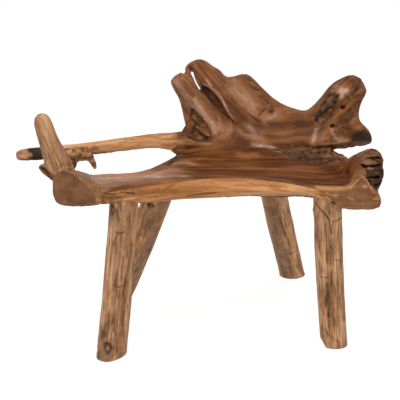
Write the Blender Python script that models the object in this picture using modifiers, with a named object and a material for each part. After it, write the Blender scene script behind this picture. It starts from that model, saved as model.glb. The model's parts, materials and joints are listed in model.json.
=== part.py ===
"""Rustic root bench: a seat and a back carved from teak roots, a side limb, an arm post and four pole legs.

Units are metres, +Z is up and +Y points from the sitter's knees to the back. Heights of the upper pieces count
from the front edge of the seat, so the bench grows taller with its legs, and all places along the bench stretch
with its length. The origin lies on the floor under the middle of the whole bench.
"""

import math
from typing import NamedTuple

import bmesh
import bpy
import numpy as np
from mathutils import Matrix, Vector

# Fits
CLEARANCE = 0.0005  # skin gap left round every piece that seats in another
WELD = 0.00005  # points of a cap this close to its wall are one
SHARP_ANGLE = math.radians(50)  # edges steeper than this stay crisp
SAW_REACH = 1.0  # half the size of the block that stands for a saw cut

# Whole bench
BENCH_LENGTH = 0.986  # from the free end of the side limb to the right edge of the back

# Seat
SEAT_HEIGHT = 0.450  # front edge of the seat above the floor
SEAT_CENTRE = (0.100, -0.080)  # middle of the sitting surface on plan
EDGE_ROUND = 0.006  # how far the rims curve in from the front and rear faces
FRONT_TUCK = 0.016  # how far the underside starts behind the front edge
SAWN_FACE_Y = -0.320  # where the left end block is sawn off
SAWN_FACE_TURN = math.radians(8)  # the sawn face looks a little outwards
SAW_WASTE = 0.030  # length of the block that the saw takes off
LEFT_BLOCK_REAR = -0.136
LEFT_BLOCK_FALL = 0.050  # the block's top sinks this far on its way to the rear
LEFT_BLOCK_SHIFT = -0.014  # the block's rear end stands this far outwards
RIGHT_FACE_Y = -0.290  # front of the right end block
RIGHT_BLOCK_REAR = -0.170
RIGHT_BLOCK_FALL = 0.022
RIGHT_BLOCK_SHIFT = 0.014

# Bed, the sloping joint on which the back root stands
BED_Y = 0.065  # the bed's front edge, where the seat sweeps up into the back
BED_SLOPE = math.radians(40)  # the bed falls towards the rear

# Back
BACK_Y = 0.105  # middle of the back at seat height
BACK_LEAN = 0.22  # rearward run for each metre of rise
BACK_HALF_THICKNESS = 0.018
BACK_FLARE = 0.050  # extra half thickness of the foot of the back
BACK_FLARE_RISE = 0.025  # height over which the flare fades
BACK_HOLLOW_X = 0.180  # the hollow of the back, from which both sides wrap forward
WRAP_LEFT = 0.45  # forward sweep for each square metre of distance, towards the left
WRAP_RIGHT = 0.60
BACK_EDGE = 0.015  # radius of the rounded rim

# Arm post
POST_Y = -0.195
POST_HALF_THICKNESS = 0.0145
POST_EDGE = 0.005

# Round tenons on the ends of the legs and the side limb
LEG_TENON_RADIUS = 0.017
LEG_TENON_LENGTH = 0.022
LIMB_TENON_RADIUS = 0.010
LIMB_TENON_LENGTH = 0.028
LIMB_SEAT_DEPTH = 0.007  # how far the brace's shoulder sinks into the left block

# Dowels between seat and back, in pairs on both sides of the rear right leg
DOWEL_RADIUS = 0.006
DOWEL_LENGTH = 0.060
DOWEL_SINK = 0.055  # from the bed's front edge, down the slope
DOWEL_FROM_LEG = 0.080
DOWEL_PITCH = 0.055

# Screws that lock each leg, driven upwards from its inner side
SCREW_LENGTH = 0.050
SCREW_SHANK_RADIUS = 0.0022
SCREW_HEAD_RADIUS = 0.0045
SCREW_HEAD_DEPTH = 0.0035
SCREW_HEAD_EDGE = 0.0006
SCREW_POINT_LENGTH = 0.006
SCREW_DROP = 0.028  # how far below the leg's shoulder a screw enters
SCREW_TILT = math.radians(30)  # between the screw and the leg's axis
SCREW_SPREAD = math.radians(70)  # between the two screws, round the leg
SCREW_ENTRY = 0.010  # length of the pocket through which a screw is driven

# Mesh fineness
SEAT_VOXEL = 0.006
BACK_VOXEL = 0.005
LIMB_VOXEL = 0.004
SEAT_TRIANGLES = 3800
BACK_TRIANGLES = 3400
LIMB_TRIANGLES = 1100
POST_TRIANGLES = 420
LIMB_SIDES = 12
LEG_SIDES = 20
SCREW_SIDES = 10


class Station(NamedTuple):
    """One cross-section of the seat log. Heights count from SEAT_HEIGHT."""

    x: float
    front_y: float
    front_top: float
    front_bottom: float
    rear_y: float
    rear_top: float
    belly: float
    dish: float


SEAT_STATIONS = (
    Station(-0.262, -0.298, -0.020, -0.057, -0.138, -0.022, -0.062, 0.002),
    Station(-0.205, -0.304, -0.019, -0.059, -0.128, -0.020, -0.067, 0.004),
    Station(-0.140, -0.300, -0.008, -0.055, -0.114, -0.020, -0.075, 0.008),
    Station(-0.090, -0.291, -0.003, -0.054, -0.056, -0.018, -0.080, 0.010),
    Station(-0.045, -0.279, 0.000, -0.054, 0.036, -0.015, -0.084, 0.013),
    Station(-0.010, -0.271, 0.001, -0.054, 0.122, -0.004, -0.086, 0.016),
    Station(0.040, -0.266, 0.002, -0.053, 0.168, 0.010, -0.088, 0.019),
    Station(0.100, -0.263, 0.002, -0.050, 0.170, 0.012, -0.088, 0.020),
    Station(0.162, -0.266, 0.001, -0.043, 0.170, 0.012, -0.088, 0.020),
    Station(0.239, -0.284, -0.005, -0.036, 0.170, 0.012, -0.087, 0.018),
    Station(0.295, -0.292, -0.015, -0.037, 0.168, 0.010, -0.085, 0.012),
    Station(0.345, -0.290, -0.022, -0.061, 0.150, 0.004, -0.082, 0.008),
    Station(0.390, -0.280, -0.022, -0.067, 0.090, -0.006, -0.078, 0.006),
    Station(0.440, -0.255, -0.024, -0.067, -0.020, -0.014, -0.072, 0.004),
)

# The blocks at both ends, seen from the front: x and height from SEAT_HEIGHT.
LEFT_BLOCK = (
    (-0.315, 0.003),
    (-0.310, 0.029),
    (-0.298, 0.038),
    (-0.282, 0.039),
    (-0.258, 0.029),
    (-0.232, 0.010),
    (-0.208, -0.016),
    (-0.200, -0.031),
    (-0.206, -0.048),
    (-0.250, -0.054),
    (-0.292, -0.054),
    (-0.309, -0.045),
    (-0.316, -0.022),
)
RIGHT_BLOCK = (
    (0.330, -0.022),
    (0.336, -0.055),
    (0.365, -0.070),
    (0.410, -0.073),
    (0.454, -0.072),
    (0.464, -0.063),
    (0.464, -0.044),
    (0.448, -0.021),
    (0.431, -0.001),
    (0.414, 0.018),
    (0.395, -0.001),
    (0.381, -0.022),
)


class Knot(NamedTuple):
    """A point on a limb's centre line and the limb's radius there. The height counts from SEAT_HEIGHT."""

    x: float
    y: float
    rise: float
    radius: float


RIGHT_ARM = (
    Knot(0.418, -0.256, -0.034, 0.036),
    Knot(0.440, -0.205, -0.014, 0.042),
    Knot(0.449, -0.145, -0.008, 0.042),
    Knot(0.438, -0.080, -0.026, 0.038),
    Knot(0.414, -0.020, -0.046, 0.032),
)
ARM_CREST = (
    Knot(0.438, -0.220, 0.006, 0.027),
    Knot(0.457, -0.180, 0.019, 0.028),
    Knot(0.463, -0.140, 0.020, 0.027),
    Knot(0.450, -0.090, 0.000, 0.024),
)
REAR_BOULDERS = (
    Knot(0.374, 0.034, -0.028, 0.037),
    Knot(0.402, 0.028, -0.042, 0.036),
)

# The side limb runs from its free end to the back root, and a brace leads from its gnarl to the left block.
RAIL = (
    Knot(-0.487, BACK_Y, -0.028, 0.0105),
    Knot(-0.478, BACK_Y, -0.028, 0.0150),
    Knot(-0.454, BACK_Y, -0.026, 0.0176),
    Knot(-0.358, BACK_Y, -0.017, 0.0186),
    Knot(-0.259, BACK_Y, -0.007, 0.0186),
    Knot(-0.172, BACK_Y, 0.005, 0.0192),
    Knot(-0.088, BACK_Y - 0.001, 0.014, 0.0218),
    Knot(-0.048, BACK_Y - 0.004, 0.013, 0.0255),
    Knot(-0.016, BACK_Y - 0.007, 0.012, 0.0310),
)
GNARL = (
    Knot(-0.352, BACK_Y - 0.021, -0.026, 0.021),
    Knot(-0.312, BACK_Y - 0.031, -0.018, 0.022),
    Knot(-0.282, BACK_Y - 0.035, -0.014, 0.020),
)
CLAW = (
    Knot(-0.284, BACK_Y - 0.039, -0.016, 0.0150),
    Knot(-0.270, BACK_Y - 0.044, -0.031, 0.0100),
    Knot(-0.263, BACK_Y - 0.045, -0.045, 0.0075),
    Knot(-0.260, BACK_Y - 0.045, -0.057, 0.0050),
)
BRACE = (
    Knot(-0.336, BACK_Y - 0.023, -0.026, 0.0210),
    Knot(-0.326, BACK_Y - 0.065, -0.034, 0.0190),
    Knot(-0.316, LEFT_BLOCK_REAR + 0.106, -0.038, 0.0160),
    Knot(-0.306, LEFT_BLOCK_REAR + 0.031, -0.037, 0.0150),
    Knot(-0.301, LEFT_BLOCK_REAR - LIMB_SEAT_DEPTH, -0.037, 0.0150),
)

# The arm post and the back, seen from the front: x and height from SEAT_HEIGHT.
POST_OUTLINE = (
    (-0.371, 0.138),
    (-0.364, 0.144),
    (-0.355, 0.145),
    (-0.343, 0.141),
    (-0.334, 0.125),
    (-0.323, 0.093),
    (-0.311, 0.066),
    (-0.299, 0.044),
    (-0.286, 0.016),
    (-0.282, -0.006),
    (-0.296, -0.015),
    (-0.318, -0.023),
    (-0.334, -0.024),
    (-0.350, -0.012),
    (-0.365, 0.003),
    (-0.371, 0.014),
    (-0.361, 0.017),
    (-0.355, 0.022),
    (-0.357, 0.034),
    (-0.365, 0.072),
    (-0.372, 0.100),
    (-0.375, 0.126),
)
BACK_OUTLINE = (
    (-0.010, 0.046),
    (-0.016, 0.082),
    (-0.027, 0.127),
    (-0.041, 0.155),
    (-0.051, 0.180),
    (-0.043, 0.191),
    (-0.026, 0.201),
    (-0.015, 0.203),
    (-0.010, 0.217),
    (0.000, 0.227),
    (0.024, 0.236),
    (0.043, 0.233),
    (0.063, 0.219),
    (0.086, 0.206),
    (0.102, 0.189),
    (0.117, 0.188),
    (0.145, 0.195),
    (0.166, 0.194),
    (0.178, 0.185),
    (0.208, 0.154),
    (0.249, 0.121),
    (0.291, 0.104),
    (0.325, 0.099),
    (0.341, 0.109),
    (0.365, 0.134),
    (0.392, 0.170),
    (0.427, 0.193),
    (0.451, 0.199),
    (0.465, 0.194),
    (0.481, 0.173),
    (0.484, 0.156),
    (0.472, 0.128),
    (0.466, 0.101),
    (0.471, 0.075),
    (0.489, 0.057),
    (0.499, 0.034),
    (0.493, 0.019),
    (0.470, 0.010),
    (0.434, 0.001),
    (0.402, -0.004),
    (0.384, -0.050),
    (0.360, -0.090),
    (0.180, -0.098),
    (0.040, -0.090),
    (0.000, -0.060),
    (-0.014, -0.010),
    (-0.013, 0.022),
)
BACK_SLIT = (
    (0.005, 0.204),
    (0.009, 0.205),
    (0.015, 0.190),
    (0.024, 0.170),
    (0.036, 0.150),
    (0.043, 0.137),
    (0.035, 0.143),
    (0.023, 0.160),
    (0.013, 0.181),
)


class Roll(NamedTuple):
    """A swelling along a line on the face of the back, or a hollow, given as its depth."""

    line: tuple
    width: float
    height: float


BACK_ROLLS = (
    Roll(((-0.028, 0.165), (0.000, 0.100), (0.040, 0.045)), 0.022, 0.012),
    Roll(((0.025, 0.222), (0.085, 0.130), (0.120, 0.080)), 0.026, 0.010),
    Roll(((0.118, 0.170), (0.150, 0.110), (0.180, 0.060)), 0.022, 0.006),
    Roll(((0.380, 0.110), (0.440, 0.150), (0.455, 0.160)), 0.030, 0.015),
    Roll(((0.445, 0.080), (0.468, 0.045)), 0.032, 0.015),
)
FACE_HOLLOWS = (
    Roll(((0.040, 0.160), (0.085, 0.105), (0.115, 0.070)), 0.012, 0.016),
    Roll(((0.000, 0.090), (0.020, 0.050), (0.035, 0.025)), 0.018, 0.013),
    Roll(((0.240, 0.060), (0.300, 0.045)), 0.055, 0.010),
    Roll(((0.400, 0.128), (0.378, 0.090)), 0.014, 0.010),
)


class Leg(NamedTuple):
    """A pole leg. foot and head are places on plan, and drop is its shoulder's depth below SEAT_HEIGHT."""

    foot: tuple
    head: tuple
    drop: float
    foot_radius: float
    head_radius: float
    bow: tuple  # sideways bow of the pole halfway up


LEGS = {
    "leg_front_left": Leg((-0.192, -0.301), (-0.155, -0.255), 0.048, 0.0372, 0.0350, (0.002, 0.0)),
    "leg_front_right": Leg((0.376, -0.228), (0.342, -0.243), 0.056, 0.0350, 0.0348, (-0.003, 0.0)),
    "leg_rear_left": Leg((-0.210, 0.110), (-0.069, -0.082), 0.064, 0.0378, 0.0370, (0.004, 0.0)),
    "leg_rear_right": Leg((0.319, 0.283), (0.222, 0.070), 0.064, 0.0390, 0.0368, (-0.002, 0.0)),
}
POLE_SPARE = 0.040  # length of pole beyond the foot and the shoulder before both ends are sawn

POLISHED = ("polished_teak", (0.168, 0.066, 0.026), 0.38, 0.0)
WEATHERED = ("weathered_teak", (0.352, 0.186, 0.082), 0.62, 0.0)
BEECH = ("dowel_beech", (0.520, 0.340, 0.180), 0.60, 0.0)
ZINC = ("zinc_screw", (0.550, 0.540, 0.500), 0.40, 1.0)


# Scene and objects


def clear_scene():
    for obj in list(bpy.data.objects):
        bpy.data.objects.remove(obj)


def collection(name, hidden=False):
    made = bpy.data.collections.new(name)
    made.hide_render = hidden
    bpy.context.scene.collection.children.link(made)
    return made


def finish(obj, spec):
    """Gives an object its material, smooth over round forms and sharp at sawn edges."""
    name, colour, roughness, metallic = spec
    material = bpy.data.materials.get(name) or bpy.data.materials.new(name)
    material.use_nodes = True
    shader = material.node_tree.nodes["Principled BSDF"]
    shader.inputs["Base Color"].default_value = (*colour, 1.0)
    shader.inputs["Roughness"].default_value = roughness
    shader.inputs["Metallic"].default_value = metallic
    material.diffuse_color = (*colour, 1.0)
    obj.data.materials.append(material)
    obj.data.shade_smooth()
    obj.data.set_sharp_from_angle(angle=SHARP_ANGLE)


def object_from(name, fill, where):
    """A mesh object whose shape a function fills in."""
    shape = bmesh.new()
    fill(shape)
    bmesh.ops.remove_doubles(shape, verts=shape.verts, dist=WELD)
    bmesh.ops.recalc_face_normals(shape, faces=shape.faces)
    mesh = bpy.data.meshes.new(name)
    shape.to_mesh(mesh)
    shape.free()
    made = bpy.data.objects.new(name, mesh)
    where.objects.link(made)
    return made


def evaluated_mesh(obj):
    graph = bpy.context.evaluated_depsgraph_get()
    return bpy.data.meshes.new_from_object(obj.evaluated_get(graph))


def baked(obj):
    """Replaces the object's mesh by what its modifiers make of it."""
    mesh = evaluated_mesh(obj)
    obj.modifiers.clear()
    obj.data = mesh
    return obj


def solid_of(curve, name, where, turn=None):
    """The solid of a curve as a mesh object, with its caps welded on."""
    line = bpy.data.objects.new(f"{name}_line", curve)
    where.objects.link(line)
    mesh = evaluated_mesh(line)
    bpy.data.objects.remove(line)
    if turn:
        mesh.transform(turn)
    return object_from(name, lambda shape: shape.from_mesh(mesh), where)


def as_cutter(obj):
    obj.hide_render = True
    obj.display_type = "WIRE"
    return obj


def boolean(obj, other, operation="DIFFERENCE"):
    step = obj.modifiers.new(f"{operation.lower()}_{other.name}", "BOOLEAN")
    step.operation = operation
    step.object = other
    return baked(obj)


def facing(at, axis):
    """The place of a piece that stands at a point with its own Z along an axis."""
    return Matrix.Translation(at) @ Vector(axis).to_track_quat("Z", "Y").to_matrix().to_4x4()


def height(rise):
    return SEAT_HEIGHT + rise


def along(x):
    """A place along the bench, stretched from the length that the tables are drawn to."""
    drawn_length = max(right for right, _ in BACK_OUTLINE) - RAIL[0].x
    return x * BENCH_LENGTH / drawn_length


def on_plan(place):
    x, y = place
    return along(x), y


def place_of(knot):
    return Vector((along(knot.x), knot.y, height(knot.rise)))


# Lines on plan and in elevation


def through(points, samples, closed=False):
    """A Catmull-Rom curve through the points, as rows of an array."""
    knots = np.array(points, float)
    if closed:
        padded = np.vstack([knots[-1:], knots, knots[:2]])
    else:
        padded = np.vstack([2 * knots[0] - knots[1], knots, 2 * knots[-1] - knots[-2]])
    run = []
    for a, b, c, d in zip(padded, padded[1:], padded[2:], padded[3:]):
        for t in np.arange(samples) / samples:
            bend = (2 * a - 5 * b + 4 * c - d) * t**2 + (3 * b - a - 3 * c + d) * t**3
            run.append((2 * b + (c - a) * t + bend) / 2)
    if not closed:
        run.append(knots[-1])
    return np.array(run)


def distance_to_line(points, line):
    """Distance of each point from an open line of points, in two dimensions."""
    best = np.full(len(points), np.inf)
    for start, end in zip(line, line[1:]):
        start, run = np.array(start), np.subtract(end, start)
        share = np.clip((points - start) @ run / (run @ run), 0, 1)
        best = np.minimum(best, np.linalg.norm(points - start - share[:, None] * run, axis=1))
    return best


def swelling(points, roll):
    """How much of a roll's height each point has."""
    line = [on_plan(place) for place in roll.line]
    return roll.height * np.exp(-((distance_to_line(points, line) / roll.width) ** 2))


# Forms


def pole(name, rows, sides, where):
    """A round pole: a smooth curve through rows of x, y, z and radius."""
    curve = bpy.data.curves.new(name, "CURVE")
    curve.dimensions = "3D"
    curve.bevel_depth = 1.0
    curve.bevel_resolution = (sides - 4) // 2
    curve.use_fill_caps = True
    curve.resolution_u = 3
    spline = curve.splines.new("BEZIER")
    spline.radius_interpolation = "CARDINAL"
    spline.bezier_points.add(len(rows) - 1)
    for knot, (x, y, z, radius) in zip(spline.bezier_points, rows):
        knot.co = (x, y, z)
        knot.radius = radius
        knot.handle_left_type = "AUTO"
        knot.handle_right_type = "AUTO"
    return solid_of(curve, name, where)


def limb(name, knots, where):
    return pole(name, [(*place_of(knot), knot.radius) for knot in knots], LIMB_SIDES, where)


def slab(name, outline, half_thickness, edge, where):
    """An upright slab of an outline in x and height, with rounded edges and its middle at y = 0."""
    curve = bpy.data.curves.new(name, "CURVE")
    curve.dimensions = "2D"
    curve.fill_mode = "BOTH"
    curve.extrude = half_thickness - edge
    curve.bevel_depth = edge
    curve.offset = -edge
    curve.resolution_u = 4
    spline = curve.splines.new("BEZIER")
    spline.use_cyclic_u = True
    spline.bezier_points.add(len(outline) - 1)
    for knot, (x, rise) in zip(spline.bezier_points, outline):
        knot.co = (along(x), height(rise), 0)
        knot.handle_left_type = "AUTO"
        knot.handle_right_type = "AUTO"
    return solid_of(curve, name, where, Matrix.Rotation(math.radians(90), 4, "X"))


def loft(name, rings, where):
    """A closed skin over rings of equally many points."""

    def fill(shape):
        rows = [[shape.verts.new(place) for place in ring] for ring in rings]
        for near, far in zip(rows, rows[1:]):
            for i, vert in enumerate(near):
                shape.faces.new((near[i - 1], vert, far[i], far[i - 1]))
        shape.faces.new(rows[0])
        shape.faces.new(rows[-1])

    return object_from(name, fill, where)


def rod(name, start, end, radius, where):
    """A plain cylinder between two points."""
    start, end = Vector(start), Vector(end)

    def fill(shape):
        bmesh.ops.create_cone(
            shape,
            cap_ends=True,
            segments=LIMB_SIDES,
            radius1=radius,
            radius2=radius,
            depth=(end - start).length,
        )

    made = object_from(name, fill, where)
    made.matrix_world = facing((start + end) / 2, end - start)
    return made


def saw(name, at, normal, where):
    """A cutter that fills the space in front of a plane."""
    normal = Vector(normal).normalized()
    made = object_from(name, lambda shape: bmesh.ops.create_cube(shape, size=2 * SAW_REACH), where)
    made.matrix_world = facing(Vector(at) + normal * SAW_REACH, normal)
    return as_cutter(made)


def burr(name, knot, where):
    """A round burr."""

    def fill(shape):
        bmesh.ops.create_uvsphere(shape, u_segments=16, v_segments=10, radius=knot.radius)
        bmesh.ops.translate(shape, verts=shape.verts, vec=place_of(knot))

    return object_from(name, fill, where)


def block(name, outline, front, rear, fall, shift, where):
    """A block seen from the front as an outline, whose top falls and whose rear end shifts sideways."""
    loop = through([(along(x), height(rise)) for x, rise in outline], 2, closed=True)
    base = loop[:, 1].min()
    tall = loop[:, 1].max() - base
    rings = []
    for share in (0.0, 0.5, 1.0):
        y = front + share * (rear - front)
        shrink = 1 - share * fall / tall
        rings.append([(x + shift * share, y, base + (z - base) * shrink) for x, z in loop])
    return loft(name, rings, where)


def grow_together(name, forms, voxel, triangles, where, bend=None):
    """Melts overlapping forms into one skin, bends it by a rule and thins it to about that many triangles."""
    joined = bmesh.new()
    for form in forms:
        joined.from_mesh(form.data)
        bpy.data.objects.remove(form)
    mesh = bpy.data.meshes.new(name)
    joined.to_mesh(mesh)
    joined.free()
    made = bpy.data.objects.new(name, mesh)
    where.objects.link(made)
    melt = made.modifiers.new("melt", "REMESH")
    melt.mode = "VOXEL"
    melt.voxel_size = voxel
    baked(made)
    if bend:
        places = np.empty(3 * len(made.data.vertices), np.float32)
        made.data.vertices.foreach_get("co", places)
        made.data.vertices.foreach_set("co", bend(places.reshape(-1, 3)).ravel())
        made.data.update()
    soften = made.modifiers.new("soften", "SMOOTH")
    soften.iterations = 3
    baked(made)
    made.data.calc_loop_triangles()
    thin = made.modifiers.new("thin", "DECIMATE")
    thin.ratio = min(1.0, triangles / len(made.data.loop_triangles))
    return baked(made)


def socket(obj, where):
    """A cutter of the object's own shape, larger all round by the clearance."""
    made = bpy.data.objects.new(f"{obj.name}_socket", obj.data.copy())
    where.objects.link(made)
    swell = made.modifiers.new("swell", "DISPLACE")
    swell.strength = CLEARANCE
    swell.mid_level = 0.0
    return as_cutter(baked(made))


# Pieces


def seat_section(station):
    """The seat log at one station: from the front edge over the dish to the rear rim, and back underneath."""
    front, rear, dish = station.front_y, station.rear_y, station.dish
    depth = rear - front
    rear_bottom = station.belly + (station.rear_top - station.belly) / 6
    outline = (
        (front + EDGE_ROUND, station.front_top),
        (front + depth / 4, station.front_top - dish * 3 / 4),
        (front + depth / 2, station.front_top - dish),
        (rear - depth / 4, station.rear_top - dish / 2),
        (rear - EDGE_ROUND, station.rear_top),
        (rear, (station.rear_top + rear_bottom) / 2),
        (rear - 2 * EDGE_ROUND, rear_bottom),
        (rear - depth / 3, station.belly),
        (front + depth / 3, station.belly + EDGE_ROUND),
        (front + FRONT_TUCK, station.front_bottom),
        (front, (station.front_top + station.front_bottom) / 2),
    )
    loop = through([(y, height(rise)) for y, rise in outline], 3, closed=True)
    return [(along(station.x), y, z) for y, z in loop]


def bed_normal():
    return Vector((0, math.sin(BED_SLOPE), math.cos(BED_SLOPE)))


def seat_root(parts, cutters):
    stations = [Station(*row) for row in through(SEAT_STATIONS, 4)]
    forms = [
        loft("seat_log", [seat_section(station) for station in stations], cutters),
        block(
            "left_block",
            LEFT_BLOCK,
            SAWN_FACE_Y - SAW_WASTE,
            LEFT_BLOCK_REAR,
            LEFT_BLOCK_FALL,
            LEFT_BLOCK_SHIFT,
            cutters,
        ),
        block(
            "right_block",
            RIGHT_BLOCK,
            RIGHT_FACE_Y,
            RIGHT_BLOCK_REAR,
            RIGHT_BLOCK_FALL,
            RIGHT_BLOCK_SHIFT,
            cutters,
        ),
        limb("right_arm", RIGHT_ARM, cutters),
        limb("arm_crest", ARM_CREST, cutters),
    ]
    forms += [burr("rear_boulder", knot, cutters) for knot in REAR_BOULDERS]
    seat = grow_together("seat_root", forms, SEAT_VOXEL, SEAT_TRIANGLES, parts)
    outwards = Vector((-math.sin(SAWN_FACE_TURN), -math.cos(SAWN_FACE_TURN), 0))
    middle_of_block = along(sum(x for x, _ in LEFT_BLOCK) / len(LEFT_BLOCK))
    boolean(seat, saw("sawn_end", (middle_of_block, SAWN_FACE_Y, SEAT_HEIGHT), outwards, cutters))
    return boolean(seat, saw("bed_of_seat", (0, BED_Y, SEAT_HEIGHT), bed_normal(), cutters))


def back_form(places):
    """Bends a flat slab into the back: leaning, wrapped forward at both sides, swollen along the rolls."""
    x, y, z = places.T
    elevation = np.column_stack([x, z - SEAT_HEIGHT])
    rise = elevation[:, 1]
    side = x - along(BACK_HOLLOW_X)
    middle = BACK_Y + BACK_LEAN * rise - np.where(side < 0, WRAP_LEFT, WRAP_RIGHT) * side**2
    half = BACK_HALF_THICKNESS + BACK_FLARE / (1 + np.exp(rise / BACK_FLARE_RISE))
    half = half + sum(swelling(elevation, roll) for roll in BACK_ROLLS)
    hollow = sum(swelling(elevation, roll) for roll in FACE_HOLLOWS)
    share = y / BACK_HALF_THICKNESS
    y = middle + share * half + hollow * np.clip(-share, 0, 1)
    return np.column_stack([x, y, z]).astype(np.float32)


def back_root(parts, cutters):
    form = slab("back_slab", BACK_OUTLINE, BACK_HALF_THICKNESS, BACK_EDGE, cutters)
    back = grow_together("back_root", [form], BACK_VOXEL, BACK_TRIANGLES, parts, back_form)
    split = slab("back_split", BACK_SLIT, 2 * BACK_Y, 0.0, cutters)
    boolean(back, as_cutter(split))
    bed = Vector((0, BED_Y, SEAT_HEIGHT)) + bed_normal() * CLEARANCE
    return boolean(back, saw("bed_of_back", bed, -bed_normal(), cutters))


def add_tenon(obj, shoulder, axis, radius, length, cutters):
    """Joins a round tenon to the end of a piece."""
    peg = rod(f"{obj.name}_tenon", shoulder - axis * length, shoulder + axis * length, radius, cutters)
    return boolean(obj, as_cutter(peg), "UNION")


def side_rail(parts, cutters):
    forms = [
        limb("rail_pole", RAIL, cutters),
        limb("rail_gnarl", GNARL, cutters),
        limb("rail_claw", CLAW, cutters),
        limb("rail_brace", BRACE, cutters),
    ]
    rail = grow_together("side_rail", forms, LIMB_VOXEL, LIMB_TRIANGLES, parts)
    for knots in (RAIL, BRACE):
        end, before = place_of(knots[-1]), place_of(knots[-2])
        add_tenon(rail, end, (end - before).normalized(), LIMB_TENON_RADIUS, LIMB_TENON_LENGTH, cutters)
    return rail


def arm_post(parts, cutters):
    form = slab("post_slab", POST_OUTLINE, POST_HALF_THICKNESS, POST_EDGE, cutters)
    form.data.transform(Matrix.Translation((0, POST_Y, 0)))
    return grow_together("arm_post", [form], LIMB_VOXEL, POST_TRIANGLES, parts)


def shoulder_of(leg):
    return Vector((*on_plan(leg.head), height(-leg.drop)))


def foot_of(leg):
    return Vector((*on_plan(leg.foot), 0))


def middle_of(leg):
    return (foot_of(leg) + shoulder_of(leg)) / 2 + Vector((*leg.bow, 0))


def axis_of(leg):
    """The way a leg points at its shoulder."""
    return (shoulder_of(leg) - middle_of(leg)).normalized()


def pole_leg(name, leg, parts, cutters):
    foot, middle, shoulder = foot_of(leg), middle_of(leg), shoulder_of(leg)
    below = foot + (foot - middle).normalized() * POLE_SPARE
    above = shoulder + axis_of(leg) * POLE_SPARE
    rows = [
        (*below, leg.foot_radius),
        (*foot, leg.foot_radius),
        (*middle, (leg.foot_radius + leg.head_radius) / 2),
        (*shoulder, leg.head_radius),
        (*above, leg.head_radius),
    ]
    made = pole(name, rows, LEG_SIDES, parts)
    boolean(made, saw(f"{name}_foot_cut", (0, 0, 0), (0, 0, -1), cutters))
    boolean(made, saw(f"{name}_shoulder", shoulder, axis_of(leg), cutters))
    return add_tenon(made, shoulder, axis_of(leg), LEG_TENON_RADIUS, LEG_TENON_LENGTH, cutters)


def screw_places(leg):
    """Where the two screws of a leg stand, each with its tip along its own Z."""
    axis = axis_of(leg)
    inward = Vector((*on_plan(SEAT_CENTRE), 0)) - Vector((*on_plan(leg.head), 0))
    inward = (inward - axis * inward.dot(axis)).normalized()
    for turn in (-SCREW_SPREAD / 2, SCREW_SPREAD / 2):
        out = Matrix.Rotation(turn, 3, axis) @ inward
        start = shoulder_of(leg) - axis * SCREW_DROP + out * leg.head_radius
        yield facing(start, axis * math.cos(SCREW_TILT) - out * math.sin(SCREW_TILT))


def screw(name, place, where, spare=0.0, entry=SCREW_HEAD_EDGE):
    """A countersunk screw turned from its profile, or with some to spare the hole that it needs."""
    shank, head = SCREW_SHANK_RADIUS + spare, SCREW_HEAD_RADIUS + spare
    tip = SCREW_LENGTH + spare
    profile = (
        (0.0, tip),
        (shank / 3, tip),
        (shank, tip - SCREW_POINT_LENGTH),
        (shank, SCREW_HEAD_DEPTH),
        (head, 0.0),
        (head, -entry),
        (0.0, -entry),
    )
    mesh = bpy.data.meshes.new(name)
    edges = [(i, i + 1) for i in range(len(profile) - 1)]
    mesh.from_pydata([(radius, 0, z) for radius, z in profile], edges, [])
    made = bpy.data.objects.new(name, mesh)
    where.objects.link(made)
    turned = made.modifiers.new("turned", "SCREW")
    turned.steps = SCREW_SIDES
    turned.render_steps = SCREW_SIDES
    turned.use_merge_vertices = True
    turned.merge_threshold = WELD
    baked(made)
    made.matrix_world = place
    return made


def dowel_xs():
    leg_x = along(LEGS["leg_rear_right"].head[0])
    for side in (-1, 1):
        for number in (0, 1):
            yield leg_x + side * (DOWEL_FROM_LEG + number * DOWEL_PITCH)


def dowel_ends(x, spare=0.0):
    """Both ends of a dowel that stands square on the bed."""
    slope = Vector((0, math.cos(BED_SLOPE), -math.sin(BED_SLOPE)))
    middle = Vector((x, BED_Y, SEAT_HEIGHT)) + slope * DOWEL_SINK
    half = bed_normal() * (DOWEL_LENGTH / 2 + spare)
    return middle - half, middle + half


def back_dowels(seat, back, parts, cutters):
    dowels = []
    for number, x in enumerate(sorted(dowel_xs()), start=1):
        hole = rod(f"dowel_hole_{number}", *dowel_ends(x, CLEARANCE), DOWEL_RADIUS + CLEARANCE, cutters)
        boolean(seat, as_cutter(hole))
        boolean(back, hole)
        dowels.append(rod(f"back_dowel_{number}", *dowel_ends(x), DOWEL_RADIUS, parts))
    return dowels


def leg_screws(seat, legs, parts, cutters):
    screws = []
    for name, leg in LEGS.items():
        for number, place in enumerate(screw_places(leg), start=1):
            label = name.replace("leg", "leg_screw") + f"_{number}"
            hole = as_cutter(screw(f"{label}_hole", place, cutters, CLEARANCE, SCREW_ENTRY))
            boolean(legs[name], hole)
            boolean(seat, hole)
            screws.append(screw(label, place, parts))
    return screws


def stand_over_origin(pieces, parts):
    """Hangs the pieces on an empty that puts the middle of the whole bench over the origin."""
    bench = bpy.data.objects.new("bench", None)
    parts.objects.link(bench)
    bpy.context.view_layer.update()
    corners = np.array([piece.matrix_world @ Vector(corner) for piece in pieces for corner in piece.bound_box])
    middle = (corners.min(axis=0) + corners.max(axis=0)) / 2
    for piece in pieces:
        piece.parent = bench
    bench.location = (-middle[0], -middle[1], 0)


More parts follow.
